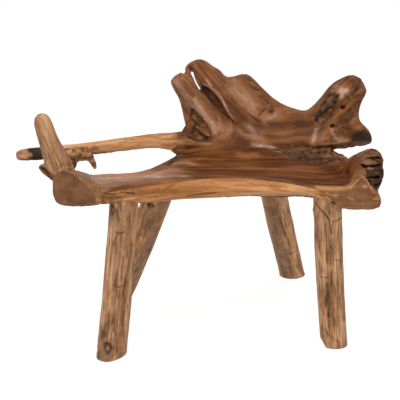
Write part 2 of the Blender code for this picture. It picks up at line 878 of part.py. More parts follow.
def main():
    clear_scene()
    parts = collection("root_bench")
    cutters = collection("root_bench_cutters", hidden=True)

    seat = seat_root(parts, cutters)
    back = back_root(parts, cutters)
    rail = side_rail(parts, cutters)
    post = arm_post(parts, cutters)
    legs = {name: pole_leg(name, leg, parts, cutters) for name, leg in LEGS.items()}

    boolean(back, socket(rail, cutters))
    for plug in (rail, post, *legs.values()):
        boolean(seat, socket(plug, cutters))
    dowels = back_dowels(seat, back, parts, cutters)
    screws = leg_screws(seat, legs, parts, cutters)

    finishes = {
        POLISHED: [seat, back],
        WEATHERED: [rail, post, *legs.values()],
        BEECH: dowels,
        ZINC: screws,
    }
    for spec, pieces in finishes.items():
        for piece in pieces:
            finish(piece, spec)
    stand_over_origin([piece for pieces in finishes.values() for piece in pieces], parts)


main()
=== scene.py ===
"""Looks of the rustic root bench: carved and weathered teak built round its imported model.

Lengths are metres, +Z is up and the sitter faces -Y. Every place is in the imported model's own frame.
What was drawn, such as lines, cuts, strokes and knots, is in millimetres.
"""

from __future__ import annotations

import json
import logging
import math
from dataclasses import dataclass, field, replace
from enum import Enum
from typing import Any, Sequence

import bmesh
import bpy
import numpy as np
from bmesh.types import BMEdge, BMesh, BMVert
from bpy.types import Material, Node, NodeSocket, NodeTree, Object
from mathutils import Matrix, Vector, kdtree, noise

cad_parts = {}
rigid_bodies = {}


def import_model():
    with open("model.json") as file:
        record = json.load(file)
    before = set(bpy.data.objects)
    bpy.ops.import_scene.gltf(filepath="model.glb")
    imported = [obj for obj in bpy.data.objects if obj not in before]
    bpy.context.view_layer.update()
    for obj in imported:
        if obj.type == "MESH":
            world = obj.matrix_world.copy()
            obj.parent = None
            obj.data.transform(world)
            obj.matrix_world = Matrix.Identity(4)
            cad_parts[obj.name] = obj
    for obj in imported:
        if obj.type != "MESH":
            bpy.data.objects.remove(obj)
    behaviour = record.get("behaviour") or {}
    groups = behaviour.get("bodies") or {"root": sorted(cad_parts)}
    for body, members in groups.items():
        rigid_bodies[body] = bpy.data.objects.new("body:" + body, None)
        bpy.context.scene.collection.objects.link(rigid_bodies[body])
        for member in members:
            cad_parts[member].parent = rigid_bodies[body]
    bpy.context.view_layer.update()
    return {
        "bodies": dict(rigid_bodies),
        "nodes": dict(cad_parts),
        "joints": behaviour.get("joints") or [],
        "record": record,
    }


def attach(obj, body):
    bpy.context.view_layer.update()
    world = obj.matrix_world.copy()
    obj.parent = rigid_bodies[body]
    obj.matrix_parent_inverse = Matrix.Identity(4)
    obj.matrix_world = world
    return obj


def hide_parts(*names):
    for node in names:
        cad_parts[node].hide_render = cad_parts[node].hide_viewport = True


BODY = "root"
SEAT_HEIGHT = 0.45
PER_METRE = 1000.0  # millimetres, the unit of all that was drawn
WELD = 0.00002
SHARP_ANGLE = math.radians(55)

Place = tuple[float, float, float]
Colour = tuple[float, float, float]
INTO_FACE: Place = (0.0, 1.0, -0.15)  # the way into a face that looks to the front
CHAR_BLACK: Colour = (0.016, 0.01, 0.007)
# Near black of the painted shade in cracks and hollows.
SHADE_BLACK: Colour = (0.01, 0.006, 0.004)
RELAX = (0.5, -0.52)  # share of a smoothing step, and of the step back that keeps the volume
log = logging.getLogger("root_bench")


class Mask(Enum):
    """What is painted on the wood, and read again by its finish."""

    SAP = "sap"  # golden sapwood, also painted on worn edges as highlights
    TORN = "torn"  # broken or weathered, never polished
    HOLLOW = "hollow"  # painted shade deep in cracks and hollows
    PALE = "pale"  # lighter tone worn by hands, and painted sheen
    SAWN = "sawn"  # end grain
    CHAR = "char"  # blackened


class Slot(Enum):
    """Material slots of the record."""

    POLISHED = "polished_teak"
    WEATHERED = "weathered_teak"
    BEECH = "dowel_beech"
    ZINC = "zinc_screw"


def smooth(low: float, high: float, value: np.ndarray) -> np.ndarray:
    """Rises smoothly from 0 to 1 between two values, or falls where low is the larger.

    Args:
        low: Value at which the result is 0.
        high: Value at which the result is 1.
        value: What is graded.

    Returns:
        The grades, from 0 to 1.
    """
    share = np.clip((value - low) / (high - low), 0.0, 1.0)
    return share * share * (3.0 - 2.0 * share)


def fractal(points: np.ndarray, scale: Place | float, octaves: int, seed: float) -> np.ndarray:
    """Fractal noise at many points.

    Args:
        points: Rows of x, y and z.
        scale: How often the noise repeats per metre, along each axis or along all of them.
        octaves: Number of layers.
        seed: Shifts the noise to another place.

    Returns:
        One value for each point, about -1 to 1.
    """
    at = points * np.array(scale) + seed
    return np.array([noise.fractal(place, 1.0, 2.0, octaves) for place in at.tolist()])


def ridged(points: np.ndarray, scale: Place, octaves: int, seed: float) -> np.ndarray:
    """Noise with sharp valleys, as torn fibres have.

    Args:
        points: Rows of x, y and z.
        scale: How often the noise repeats per metre along each axis.
        octaves: Number of layers.
        seed: Shifts the noise to another place.

    Returns:
        One value for each point, 0 in the valleys and about 1 on the ridges.
    """
    at = points * np.array(scale) + seed
    total = np.zeros(len(points))
    weight = 1.0
    for layer in range(octaves):
        rows = (at * 2.0**layer + 7.3 * layer).tolist()
        total += weight * np.abs(np.array([noise.noise(place) for place in rows]))
        weight *= 0.5
    return np.clip(total * 1.4, 0.0, 1.2)


def line_distance(points: np.ndarray, line: Sequence[Place]) -> tuple[np.ndarray, np.ndarray]:
    """How far points lie from a drawn line.

    Args:
        points: Rows of x, y and z.
        line: The line's points, or a single point, in millimetres.

    Returns:
        The distance of each point, and its share of the way along the line.
    """
    knots = np.array(line, float) / PER_METRE
    if len(knots) == 1:
        return np.linalg.norm(points - knots[0], axis=1), np.zeros(len(points))
    best = np.full(len(points), np.inf)
    share = np.zeros(len(points))
    count = len(knots) - 1
    for index, (start, end) in enumerate(zip(knots, knots[1:])):
        run = end - start
        along = np.clip((points - start) @ run / (run @ run), 0.0, 1.0)
        away = np.linalg.norm(points - start - along[:, None] * run, axis=1)
        closer = away < best
        best = np.where(closer, away, best)
        share = np.where(closer, (index + along) / count, share)
    return best, share


def front_distance(points: np.ndarray, line: Sequence[Place]) -> tuple[np.ndarray, np.ndarray]:
    """How far points lie from a line as the front shows them, and their share of the way along it."""
    return line_distance(points[:, (0, 2)], [(x, z) for x, _, z in line])


@dataclass(frozen=True)
class Loft:
    """A solid along a line, to add as a limb or to take out as a gouged hole, in millimetres.

    Attributes:
        line: Points that it follows.
        widths: Half width at each point.
        depths: Half depth at each point.
        into: The way its depth points.
    """

    line: Sequence[Place]
    widths: Sequence[float]
    depths: Sequence[float]
    into: Place = INTO_FACE

    def solid(self, name: str) -> Object:
        """The closed solid.

        Args:
            name: Name of the object.

        Returns:
            A mesh object.
        """
        sides = 10
        knots = np.array(self.line, float) / PER_METRE
        reach = np.array((self.widths, self.depths)).T / PER_METRE
        into = np.array(Vector(self.into).normalized())
        tangents = np.gradient(knots, axis=0)
        shape = bmesh.new()
        rings = []
        for place, tangent, (width, depth) in zip(knots, tangents, reach):
            across = np.cross(tangent, into)
            across /= np.linalg.norm(across)
            ring = []
            for step in range(sides):
                turn = 2 * math.pi * step / sides
                offset = across * width * math.cos(turn) + into * depth * math.sin(turn)
                ring.append(shape.verts.new(place + offset))
            rings.append(ring)
        for near, far in zip(rings, rings[1:]):
            for index in range(sides):
                shape.faces.new((near[index - 1], near[index], far[index], far[index - 1]))
        shape.faces.new(rings[0])
        shape.faces.new(rings[-1])
        bmesh.ops.recalc_face_normals(shape, faces=shape.faces)
        return new_object(name, shape)


@dataclass(frozen=True, kw_only=True)
class Paint:
    """What a tool lays on the wood.

    Attributes:
        pale: How much it lightens the wood, as wear by hands and as painted sheen.
        torn: How much torn wood it leaves.
        hollow: How much painted shade it leaves in cracks and hollows.
        char: How much it blackens.
    """

    pale: float = 0.0
    torn: float = 0.0
    hollow: float = 0.0
    char: float = 0.0

    def laid(self) -> dict[Mask, float]:
        """The masks that it lays on, each with its strength."""
        every = {Mask.PALE: self.pale, Mask.TORN: self.torn, Mask.HOLLOW: self.hollow, Mask.CHAR: self.char}
        return {mask: strength for mask, strength in every.items() if strength}


@dataclass(frozen=True)
class Stroke(Paint):
    """A line of carving or paint on a surface, in millimetres.

    Attributes:
        line: Points on the surface.
        width: How far the stroke reaches to both sides.
        height: How far it raises the surface, or lowers it if negative.
    """

    line: Sequence[Place]
    width: float
    height: float = 0.0


@dataclass(frozen=True)
class Dent(Paint):
    """A hollow with a crisp rim, sunk into a face that looks to the front, in millimetres.

    Attributes:
        outline: Corners of its rim, as x and z.
        depth: How deep it goes.
        rim: Width of its steep edge.
        reach: Front and rear of the wood that it may sink into.
    """

    outline: Sequence[tuple[float, float]]
    depth: float
    rim: float = 3.5
    reach: tuple[float, float] = (30.0, 1000.0)

    def inside(self, points: np.ndarray) -> np.ndarray:
        """How far points lie inside the rim, seen from the front.

        Args:
            points: Rows of x, y and z.

        Returns:
            A distance for each point, negative outside.
        """
        x, _, z = points.T
        ring = np.array([*self.outline, self.outline[0]], float)
        away, _ = line_distance(points[:, (0, 2)], ring)
        ring /= PER_METRE
        within = np.zeros(len(points), bool)
        for (x0, z0), (x1, z1) in zip(ring, ring[1:]):
            if z0 != z1:
                crosses = (z0 > z) != (z1 > z)
                within ^= crosses & (x < x0 + (z - z0) / (z1 - z0) * (x1 - x0))
        return np.where(within, away, -away)


def new_object(name: str, shape: BMesh) -> Object:
    """Turns an edit mesh into an object of the scene.

    Args:
        name: Name of the object.
        shape: The edit mesh, which is freed.

    Returns:
        The new object.
    """
    mesh = bpy.data.meshes.new(name)
    shape.to_mesh(mesh)
    shape.free()
    made = bpy.data.objects.new(name, mesh)
    bpy.context.scene.collection.objects.link(made)
    return made


def copy_of(node: Object, name: str) -> Object:
    """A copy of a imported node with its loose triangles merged.

    Args:
        node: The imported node.
        name: Name of the copy.

    Returns:
        The copy.
    """
    shape = bmesh.new()
    shape.from_mesh(node.data)
    bmesh.ops.remove_doubles(shape, verts=shape.verts, dist=WELD)
    return new_object(name, shape)


def apply_modifiers(obj: Object) -> Object:
    """Replaces an object's mesh by what its modifiers make of it.

    Args:
        obj: The object.

    Returns:
        The same object, without modifiers.
    """
    graph = bpy.context.evaluated_depsgraph_get()
    mesh = bpy.data.meshes.new_from_object(obj.evaluated_get(graph))
    obj.modifiers.clear()
    obj.data = mesh
    return obj


def carve(obj: Object, cuts: Sequence[Loft]) -> None:
    """Takes the cuts out of an object.

    Args:
        obj: The object.
        cuts: The cuts.
    """
    for number, cut in enumerate(cuts):
        tool = cut.solid(f"gouge_{number}")
        combined(obj, tool, "DIFFERENCE")
        bpy.data.objects.remove(tool)


def melted(obj: Object, voxel: float) -> Object:
    """Rebuilds an object as one even skin and keeps its outer shell.

    Args:
        obj: The object, which may hold several overlapping solids.
        voxel: Size of the new faces.

    Returns:
        The same object.
    """
    step = obj.modifiers.new("melt", "REMESH")
    step.mode = "VOXEL"
    step.voxel_size = voxel
    keep_largest(apply_modifiers(obj))
    return obj


def shells_of(shape: BMesh) -> list[list[BMVert]]:
    """The separate shells of an edit mesh.

    Args:
        shape: The edit mesh.

    Returns:
        The vertices of each shell, the largest last.
    """
    shape.verts.index_update()
    seen: set[int] = set()
    shells: list[list[BMVert]] = []
    for vert in shape.verts:
        if vert.index in seen:
            continue
        seen.add(vert.index)
        shell = [vert]
        for member in shell:
            for edge in member.link_edges:
                other = edge.other_vert(member)
                if other.index not in seen:
                    seen.add(other.index)
                    shell.append(other)
        shells.append(shell)
    return sorted(shells, key=len)


def keep_largest(obj: Object) -> None:
    """Drops crumbs that a cut left beside a piece.

    Args:
        obj: The piece.
    """
    shape = bmesh.new()
    shape.from_mesh(obj.data)
    for crumb in shells_of(shape)[:-1]:
        bmesh.ops.delete(shape, geom=crumb, context="VERTS")
    shape.to_mesh(obj.data)
    shape.free()


def joined(name: str, parts: Sequence[Object]) -> Object:
    """Puts several meshes into one object.

    Args:
        name: Name of the object.
        parts: The objects, which are removed.

    Returns:
        The new object.
    """
    shape = bmesh.new()
    for part in parts:
        shape.from_mesh(part.data)
        bpy.data.objects.remove(part)
    return new_object(name, shape)


def block(name: str, low: Place, high: Place) -> Object:
    """A plain block, used as a saw.

    Args:
        name: Name of the object.
        low: Its lowest corner.
        high: Its highest corner.

    Returns:
        A mesh object.
    """
    shape = bmesh.new()
    bmesh.ops.create_cube(shape, size=1.0)
    made = new_object(name, shape)
    size = Vector(high) - Vector(low)
    middle = (Vector(high) + Vector(low)) / 2
    made.data.transform(Matrix.Translation(middle) @ Matrix.Diagonal((*size, 1.0)))
    return made


def combined(obj: Object, tool: Object, operation: str) -> Object:
    """Cuts an object with a tool, or joins them.

    Args:
        obj: The object.
        tool: The other object, which stays.
        operation: DIFFERENCE, INTERSECT or UNION.

    Returns:
        The same object.
    """
    step = obj.modifiers.new("tool", "BOOLEAN")
    step.operation = operation
    step.solver = "MANIFOLD"
    step.object = tool
    return apply_modifiers(obj)


def duplicate(obj: Object, name: str) -> Object:
    """A copy of an object with a mesh of its own."""
    made = bpy.data.objects.new(name, obj.data.copy())
    bpy.context.scene.collection.objects.link(made)
    return made


def thinned(obj: Object, triangles: int) -> Object:
    """Thins a mesh down to a number of triangles.

    Args:
        obj: The object.
        triangles: How many triangles it keeps.

    Returns:
        The same object.
    """
    obj.data.calc_loop_triangles()
    step = obj.modifiers.new("thin", "DECIMATE")
    step.ratio = min(1.0, triangles / len(obj.data.loop_triangles))
    return apply_modifiers(obj)


class Carving:
    """A mesh under the gouge: its points, its normals and the masks painted on it."""

    def __init__(self, obj: Object) -> None:
        """Reads the mesh of an object.

        Args:
            obj: The object to carve.
        """
        self.obj = obj
        mesh = obj.data
        self.count = len(mesh.vertices)
        flat = np.empty(self.count * 3, np.float32)
        mesh.vertices.foreach_get("co", flat)
        self.points = flat.reshape(-1, 3).astype(float)
        ends = np.empty(len(mesh.edges) * 2, np.int32)
        mesh.edges.foreach_get("vertices", ends)
        self.start, self.end = ends.reshape(-1, 2).T
        self.degree = np.bincount(ends, minlength=self.count)[:, None]
        self.masks = {mask: np.zeros(self.count) for mask in Mask}
        self.flow = self.points.copy()
        self.normals = np.zeros_like(self.points)
        self.refresh()

    def refresh(self) -> None:
        """Hands the points back to the mesh and reads its normals."""
        mesh = self.obj.data
        mesh.vertices.foreach_set("co", self.points.astype(np.float32).ravel())
        mesh.update()
        flat = np.empty(self.count * 3, np.float32)
        mesh.vertex_normals.foreach_get("vector", flat)
        self.normals = flat.reshape(-1, 3).astype(float)

    def spread(self, values: np.ndarray) -> np.ndarray:
        """Each vertex's mean over its neighbours.

        Args:
            values: One row for each vertex.

        Returns:
            The means, in the same shape.
        """
        table = values.reshape(self.count, -1)
        total = np.empty_like(table)
        for column in range(table.shape[1]):
            row = table[:, column]
            total[:, column] = np.bincount(self.start, row[self.end], self.count)
            total[:, column] += np.bincount(self.end, row[self.start], self.count)
        return (total / self.degree).reshape(values.shape)

    def relax(self, rounds: int, share: np.ndarray | None = None, firm: bool = True) -> None:
        """Smooths the surface.

        Args:
            rounds: How often.
            share: How much each vertex takes part.
            firm: Keeps the volume, where a plain smoothing shrinks it.
        """
        weight = 1.0 if share is None else share[:, None]
        for _ in range(rounds):
            for factor in RELAX if firm else RELAX[:1]:
                self.points += factor * weight * (self.spread(self.points) - self.points)
        self.refresh()

    def push(self, amount: np.ndarray) -> None:
        """Moves the surface out along its normals, by an amount for each vertex."""
        self.points += self.normals * amount[:, None]
        self.refresh()

    def paint(self, mask: Mask, amount: np.ndarray) -> None:
        """Lays a mask on, where it isn't there more strongly already."""
        self.masks[mask] = np.clip(np.maximum(self.masks[mask], amount), 0.0, 1.0)

    def stroke(self, strokes: Sequence[Stroke], front_only: bool = True) -> None:
        """Carves and paints strokes.

        Args:
            strokes: The strokes.
            front_only: Leaves faces that look to the rear alone.
        """
        facing = smooth(0.5, 0.1, self.normals[:, 1]) if front_only else np.ones(self.count)
        lift = np.zeros(self.count)
        for stroke in strokes:
            away, _ = line_distance(self.points, stroke.line)
            share = np.exp(-((away / (stroke.width / PER_METRE)) ** 2)) * facing
            lift += stroke.height / PER_METRE * share
            for mask, strength in stroke.laid().items():
                self.paint(mask, strength * (share if mask is Mask.PALE else smooth(0.1, 0.7, share)))
        self.push(lift)

    def dent(self, dents: Sequence[Dent]) -> None:
        """Sinks hollows.

        Args:
            dents: The hollows.
        """
        faces_front = smooth(0.35, -0.05, self.normals[:, 1])
        into = np.array(Vector(INTO_FACE).normalized())
        for dent in dents:
            inside = dent.inside(self.points)
            front, rear = np.array(dent.reach) / PER_METRE
            facing = faces_front * (self.points[:, 1] > front) * (self.points[:, 1] < rear)
            near = np.flatnonzero(inside > -0.01)
            inside[near] += 0.0022 * fractal(self.points[near], 80.0, 3, 4.4)
            share = facing * smooth(0.0, dent.rim / PER_METRE, inside)
            self.points += dent.depth / PER_METRE * share[:, None] * into
            for mask, strength in dent.laid().items():
                self.paint(mask, strength * facing * smooth(-0.0015, 0.0015, inside))
        self.refresh()

    def hollowness(self, rounds: int) -> np.ndarray:
        """How far each vertex lies below the surface round it.

        Args:
            rounds: How wide a surround counts.

        Returns:
            Depths in metres, negative on ridges.
        """
        even = self.points.copy()
        for _ in range(rounds):
            even += RELAX[0] * (self.spread(even) - even)
        return np.einsum("ij,ij->i", even - self.points, self.normals)

    def store(self) -> None:
        """Writes the masks and the flow of the grain to the mesh."""
        self.refresh()
        mesh = self.obj.data
        for mask, values in self.masks.items():
            layer = mesh.attributes.new(mask.value, "FLOAT", "POINT")
            layer.data.foreach_set("value", values.astype(np.float32))
        layer = mesh.attributes.new("flow", "FLOAT_VECTOR", "POINT")
        layer.data.foreach_set("vector", self.flow.astype(np.float32).ravel())


class Sketch:
    """Places nodes in a tree and wires them."""

    def __init__(self, tree: NodeTree) -> None:
        """Takes over a shader or geometry tree."""
        self.tree = tree

    def add(self, kind: str, wires: dict[Any, Any] | None = None, **settings: Any) -> Node:
        """Adds a node.

        Args:
            kind: The node's type.
            wires: A value or another node's socket for each of its inputs.
            **settings: The node's own settings.

        Returns:
            The node.
        """
        node = self.tree.nodes.new(kind)
        for key, value in settings.items():
            setattr(node, key, value)
        for key, value in (wires or {}).items():
            if isinstance(value, NodeSocket):
                self.link(value, node, key)
            else:
                node.inputs[key].default_value = value
        return node

    def link(self, socket: NodeSocket, node: Node, key: Any) -> None:
        """Wires a socket to an input of a node."""
        self.tree.links.new(socket, node.inputs[key])

    def math(self, operation: str, *values: Any, clamp: bool = False) -> NodeSocket:
        """A sum of numbers or sockets, held between 0 and 1 where it is clamped."""
        wires = dict(enumerate(values))
        return self.add("ShaderNodeMath", wires, operation=operation, use_clamp=clamp).outputs[0]

    def grade(self, value: Any, low: float, high: float) -> NodeSocket:
        """Rises smoothly from 0 to 1 where a socket's value goes from low to high."""
        wires = {"Value": value, "From Min": low, "From Max": high}
        return self.add("ShaderNodeMapRange", wires, interpolation_type="SMOOTHSTEP").outputs[0]

    def mix(self, share: Any, first: Any, second: Any) -> NodeSocket:
        """Mixes two colours or their sockets, by the share of the second."""
        wires = {0: share, 6: self.colour(first), 7: self.colour(second)}
        return self.add("ShaderNodeMix", wires, data_type="RGBA").outputs[2]

    @staticmethod
    def colour(value: Any) -> Any:
        """A colour with its alpha, or the socket as it is."""
        return value if isinstance(value, NodeSocket) else (*value, 1.0)

    def ramp(self, value: Any, stops: Sequence[tuple[float, Colour]]) -> NodeSocket:
        """Colours along a scale.

        Args:
            value: Socket that picks the colour.
            stops: Place on the scale and colour.

        Returns:
            The colour's socket.
        """
        node = self.add("ShaderNodeValToRGB", {0: value})
        elements = node.color_ramp.elements
        while len(elements) < len(stops):
            elements.new(1.0)
        for element, (place, colour) in zip(elements, stops):
            element.position = place
            element.color = (*colour, 1.0)
        return node.outputs[0]

    def stretched(self, vector: Any, scale: Place) -> NodeSocket:
        """A vector with its axes scaled."""
        return self.add("ShaderNodeVectorMath", {0: vector, 1: scale}, operation="MULTIPLY").outputs[0]

    def noise(self, vector: Any, scale: Place, detail: float, twist: float = 0.0) -> NodeSocket:
        """A noise texture.

        Args:
            vector: Where it is read.
            scale: How often it repeats per metre along each axis.
            detail: Number of layers.
            twist: How far it is distorted.

        Returns:
            The socket of its value.
        """
        where = self.stretched(vector, scale)
        wires = {"Vector": where, "Scale": 1.0, "Detail": detail, "Distortion": twist}
        return self.add("ShaderNodeTexNoise", wires).outputs[0]


def new_material(name: str) -> tuple[Material, Sketch, Node]:
    """Starts a material.

    Args:
        name: Its name.

    Returns:
        The material, a sketch of its tree and its shader.
    """
    made = bpy.data.materials.new(name)
    made.use_nodes = True
    return made, Sketch(made.node_tree), made.node_tree.nodes["Principled BSDF"]


def geometry_tree(name: str, inputs: Sequence[tuple[str, str]]) -> tuple[Sketch, Any]:
    """Starts a geometry tree that puts out one geometry.

    Args:
        name: Its name.
        inputs: Name and kind of each of its inputs.

    Returns:
        A sketch of the tree, and the sockets of its inputs.
    """
    tree = bpy.data.node_groups.new(name, "GeometryNodeTree")
    for key, kind in inputs:
        tree.interface.new_socket(key, in_out="INPUT", socket_type=f"NodeSocket{kind}")
    tree.interface.new_socket("Geometry", in_out="OUTPUT", socket_type="NodeSocketGeometry")
    sketch = Sketch(tree)
    return sketch, sketch.add("NodeGroupInput").outputs


class Grain:
    """Shader groups that all the woods share."""

    def __init__(self) -> None:
        """Builds the groups."""
        self.fibres = self.fibre_group()
        self.rings = self.ring_group()

    @staticmethod
    def group(name: str, inputs: dict[str, Any], outputs: Sequence[str]) -> tuple[Sketch, Any, Any]:
        """Starts a shader group.

        Args:
            name: Name of the group.
            inputs: Its inputs with their values, vectors as tuples.
            outputs: Names of its outputs.

        Returns:
            A sketch of the group, its input node and its output node.
        """
        tree = bpy.data.node_groups.new(name, "ShaderNodeTree")
        for key, value in inputs.items():
            kind = "NodeSocketVector" if isinstance(value, tuple) else "NodeSocketFloat"
            tree.interface.new_socket(key, in_out="INPUT", socket_type=kind).default_value = value
        for key in outputs:
            tree.interface.new_socket(key, in_out="OUTPUT", socket_type="NodeSocketFloat")
        sketch = Sketch(tree)
        return sketch, sketch.add("NodeGroupInput"), sketch.add("NodeGroupOutput")

    def fibre_group(self) -> NodeTree:
        """Grain along the flow of the wood.

        Returns:
            A group that gives tone, streaks, fibres, dark lines, mottling, flecks, checks and relief.
        """
        inputs = {"Flow": (0.0, 0.0, 0.0), "Check Reach": 0.012}
        outputs = ("Tone", "Streak", "Fibre", "Line", "Mottle", "Fleck", "Check", "Relief")
        sketch, given, result = self.group("teak_fibres", inputs, outputs)
        flow = given.outputs["Flow"]
        tone = sketch.noise(flow, (3.0, 10.0, 10.0), 3.0, 0.5)
        streak = sketch.noise(flow, (3.5, 62.0, 62.0), 5.0, 0.7)
        fibre = sketch.noise(flow, (22.0, 480.0, 480.0), 3.0, 0.0)
        line = sketch.grade(sketch.noise(flow, (5.0, 150.0, 150.0), 4.0, 0.6), 0.54, 0.68)
        mottle = sketch.noise(flow, (14.0, 46.0, 46.0), 5.0, 0.5)
        fleck = sketch.grade(sketch.noise(flow, (21.0, 330.0, 330.0), 4.0, 0.9), 0.55, 0.61)
        patch = sketch.grade(sketch.noise(flow, (6.0, 18.0, 18.0), 3.0), 0.4, 0.56)
        fleck = sketch.math("MULTIPLY", fleck, patch)
        wander = sketch.noise(flow, (3.0, 34.0, 34.0), 4.0, 0.4)
        away = sketch.math("ABSOLUTE", sketch.math("SUBTRACT", wander, 0.5))
        share = sketch.math("DIVIDE", away, given.outputs["Check Reach"])
        crack = sketch.math("SUBTRACT", 1.0, share, clamp=True)
        gate = sketch.grade(sketch.noise(flow, (7.0, 13.0, 13.0), 2.0), 0.5, 0.6)
        check = sketch.math("MULTIPLY", crack, gate)
        relief = sketch.math("MULTIPLY_ADD", streak, 0.5, sketch.math("MULTIPLY", fibre, 0.5))
        relief = sketch.math("SUBTRACT", relief, check)
        for key, socket in zip(outputs, (tone, streak, fibre, line, mottle, fleck, check, relief)):
            sketch.link(socket, result, key)
        return sketch.tree

    def ring_group(self) -> NodeTree:
        """Growth rings of a sawn end.

        Returns:
            A group that gives rings and the marks of the saw.
        """
        inputs = {"Place": (0.0, 0.0, 0.0), "Heart": (0.0, 0.0, 0.0), "Ring Width": 0.006}
        sketch, given, result = self.group("growth_rings", inputs, ("Ring", "Saw Mark"))
        place = given.outputs["Place"]
        wires = {0: place, 1: given.outputs["Heart"]}
        offset = sketch.add("ShaderNodeVectorMath", wires, operation="SUBTRACT").outputs[0]
        away = sketch.add("ShaderNodeVectorMath", {0: offset}, operation="LENGTH").outputs["Value"]
        warp = sketch.noise(place, (28.0, 28.0, 28.0), 3.0)
        away = sketch.math("MULTIPLY_ADD", warp, 0.022, away)
        turn = sketch.math("DIVIDE", away, given.outputs["Ring Width"])
        turn = sketch.math("MULTIPLY", turn, 2 * math.pi)
        ring = sketch.math("MULTIPLY_ADD", sketch.math("SINE", turn), 0.5, 0.5)
        mark = sketch.noise(place, (24.0, 24.0, 36.0), 8.0, 0.6)
        sketch.link(ring, result, "Ring")
        sketch.link(mark, result, "Saw Mark")
        return sketch.tree


@dataclass(frozen=True)
class WoodFinish:
    """How a wood looks.

    Attributes:
        name: Name of the material.
        heart: Dark, middle and light tone of the heartwood.
        sap: Dark, middle and light tone of the sapwood.
        torn: Dark, middle and light tone of broken wood.
        sawn: Dark and light tone of end grain.
        pale: Tone of wood worn light by hands, also laid on as painted sheen.
        sheen_bloom: Tone of the whitish painted sheen where the wood is worn palest.
        heart_at: Middle of the growth rings of its sawn end.
        gloss_rough: Roughness of the smooth wood.
        specular: Strength of its reflections.
        spread: How far from the middle its dark and light tones lie.
        weathered: How far mottling and flecks take the place of its clean figure.
        checks: Reach of the fine drying checks.
        relief: Height of the grain's relief.
    """

    name: str
    heart: tuple[Colour, Colour, Colour]
    sap: tuple[Colour, Colour, Colour]
    torn: tuple[Colour, Colour, Colour]
    sawn: tuple[Colour, Colour]
    pale: Colour
    sheen_bloom: Colour = (0.58, 0.42, 0.325)
    heart_at: Place = (0.0, 0.0, 0.0)
    gloss_rough: float = 0.4
    specular: float = 0.07
    spread: float = 0.1
    weathered: float = 0.0
    checks: float = 0.006
    relief: float = 0.0004

    def material(self, grain: Grain) -> Material:
        """Builds the material.

        Args:
            grain: The shared shader groups.

        Returns:
            The material.
        """
        made, sketch, shader = new_material(self.name)
        flow = sketch.add("ShaderNodeAttribute", attribute_name="flow").outputs["Vector"]
        masks = {
            mask: sketch.add("ShaderNodeAttribute", attribute_name=mask.value).outputs["Fac"]
            for mask in Mask
        }
        place = sketch.add("ShaderNodeTexCoord").outputs["Object"]
        fibres = sketch.add(
            "ShaderNodeGroup", {"Flow": flow, "Check Reach": self.checks}, node_tree=grain.fibres
        ).outputs
        rings = sketch.add(
            "ShaderNodeGroup", {"Place": place, "Heart": self.heart_at}, node_tree=grain.rings
        ).outputs

        figure = sketch.math("MULTIPLY", fibres["Tone"], 0.4)
        figure = sketch.math("MULTIPLY_ADD", fibres["Streak"], 0.6, figure)
        worn = sketch.math("MULTIPLY", fibres["Mottle"], self.weathered)
        figure = sketch.math("MULTIPLY_ADD", figure, 1.0 - self.weathered, worn)
        stops = (0.5 - self.spread, 0.5, 0.5 + 1.1 * self.spread)
        cloud = sketch.noise(flow, (9.0, 30.0, 30.0), 4.0, 0.4)
        calm = sketch.math("MULTIPLY", sketch.grade(masks[Mask.PALE], 0.0, 0.1), 0.6)
        even = sketch.math("MULTIPLY_ADD", calm, sketch.math("SUBTRACT", cloud, figure), figure)
        colour = sketch.ramp(even, tuple(zip(stops, self.heart)))
        patchy = sketch.math("MULTIPLY_ADD", cloud, 0.5, sketch.math("MULTIPLY", figure, 0.5))
        patchy = sketch.grade(patchy, 0.4, 0.56)
        # Lighter tone of wear, with painted sheen, where the pale mask lies.
        pale_and_sheen = sketch.math("MULTIPLY", masks[Mask.PALE], sketch.math("MULTIPLY_ADD", patchy, 0.5, 0.4))
        colour = sketch.mix(pale_and_sheen, colour, self.pale)
        lines = sketch.math("MULTIPLY_ADD", calm, -0.45, 0.4 + 0.25 * self.weathered)
        lines = sketch.math("MULTIPLY", fibres["Line"], lines)
        colour = sketch.mix(lines, colour, self.heart[0])
        # Painted sheen: whitish patches where the pale mask is strongest.
        smear = sketch.grade(sketch.noise(place, (52.0, 52.0, 52.0), 6.0, 1.1), 0.4, 0.66)
        smear = sketch.math("MULTIPLY_ADD", smear, 0.65, 0.35)
        sheen_bloom = sketch.math("MULTIPLY", sketch.grade(masks[Mask.PALE], 0.6, 1.0), smear)
        colour = sketch.mix(sketch.math("MULTIPLY", sheen_bloom, 0.66), colour, self.sheen_bloom)
        sap = sketch.ramp(figure, tuple(zip((0.37, 0.5, 0.63), self.sap)))
        sap = sketch.mix(sketch.math("MULTIPLY", fibres["Line"], 0.4), sap, self.sap[0])
        colour = sketch.mix(masks[Mask.SAP], colour, sap)
        lump = sketch.noise(place, (70.0, 70.0, 70.0), 5.0, 0.3)
        broken = sketch.math("MULTIPLY_ADD", lump, 0.6, sketch.math("MULTIPLY", fibres["Streak"], 0.4))
        torn = sketch.ramp(broken, tuple(zip((0.39, 0.5, 0.62), self.torn)))
        colour = sketch.mix(masks[Mask.TORN], colour, torn)
        ends = sketch.math("MULTIPLY", rings["Saw Mark"], 0.95)
        ends = sketch.math("MULTIPLY_ADD", rings["Ring"], 0.05, ends)
        sawn = sketch.ramp(ends, tuple(zip((0.38, 0.66), self.sawn)))
        colour = sketch.mix(masks[Mask.SAWN], colour, sawn)
        speckle = sketch.grade(fibres["Fibre"], 0.62, 0.3)
        fleck = (fibres["Fleck"], 0.9 * self.weathered)
        for share, strength in ((speckle, 0.3), (fibres["Check"], 0.75), fleck):
            colour = sketch.mix(sketch.math("MULTIPLY", share, strength), colour, self.torn[0])
        colour = sketch.mix(masks[Mask.CHAR], colour, CHAR_BLACK)
        # Painted shade: near black deep in cracks and hollows.
        colour = sketch.mix(masks[Mask.HOLLOW], colour, SHADE_BLACK)
        sketch.link(colour, shader, "Base Color")

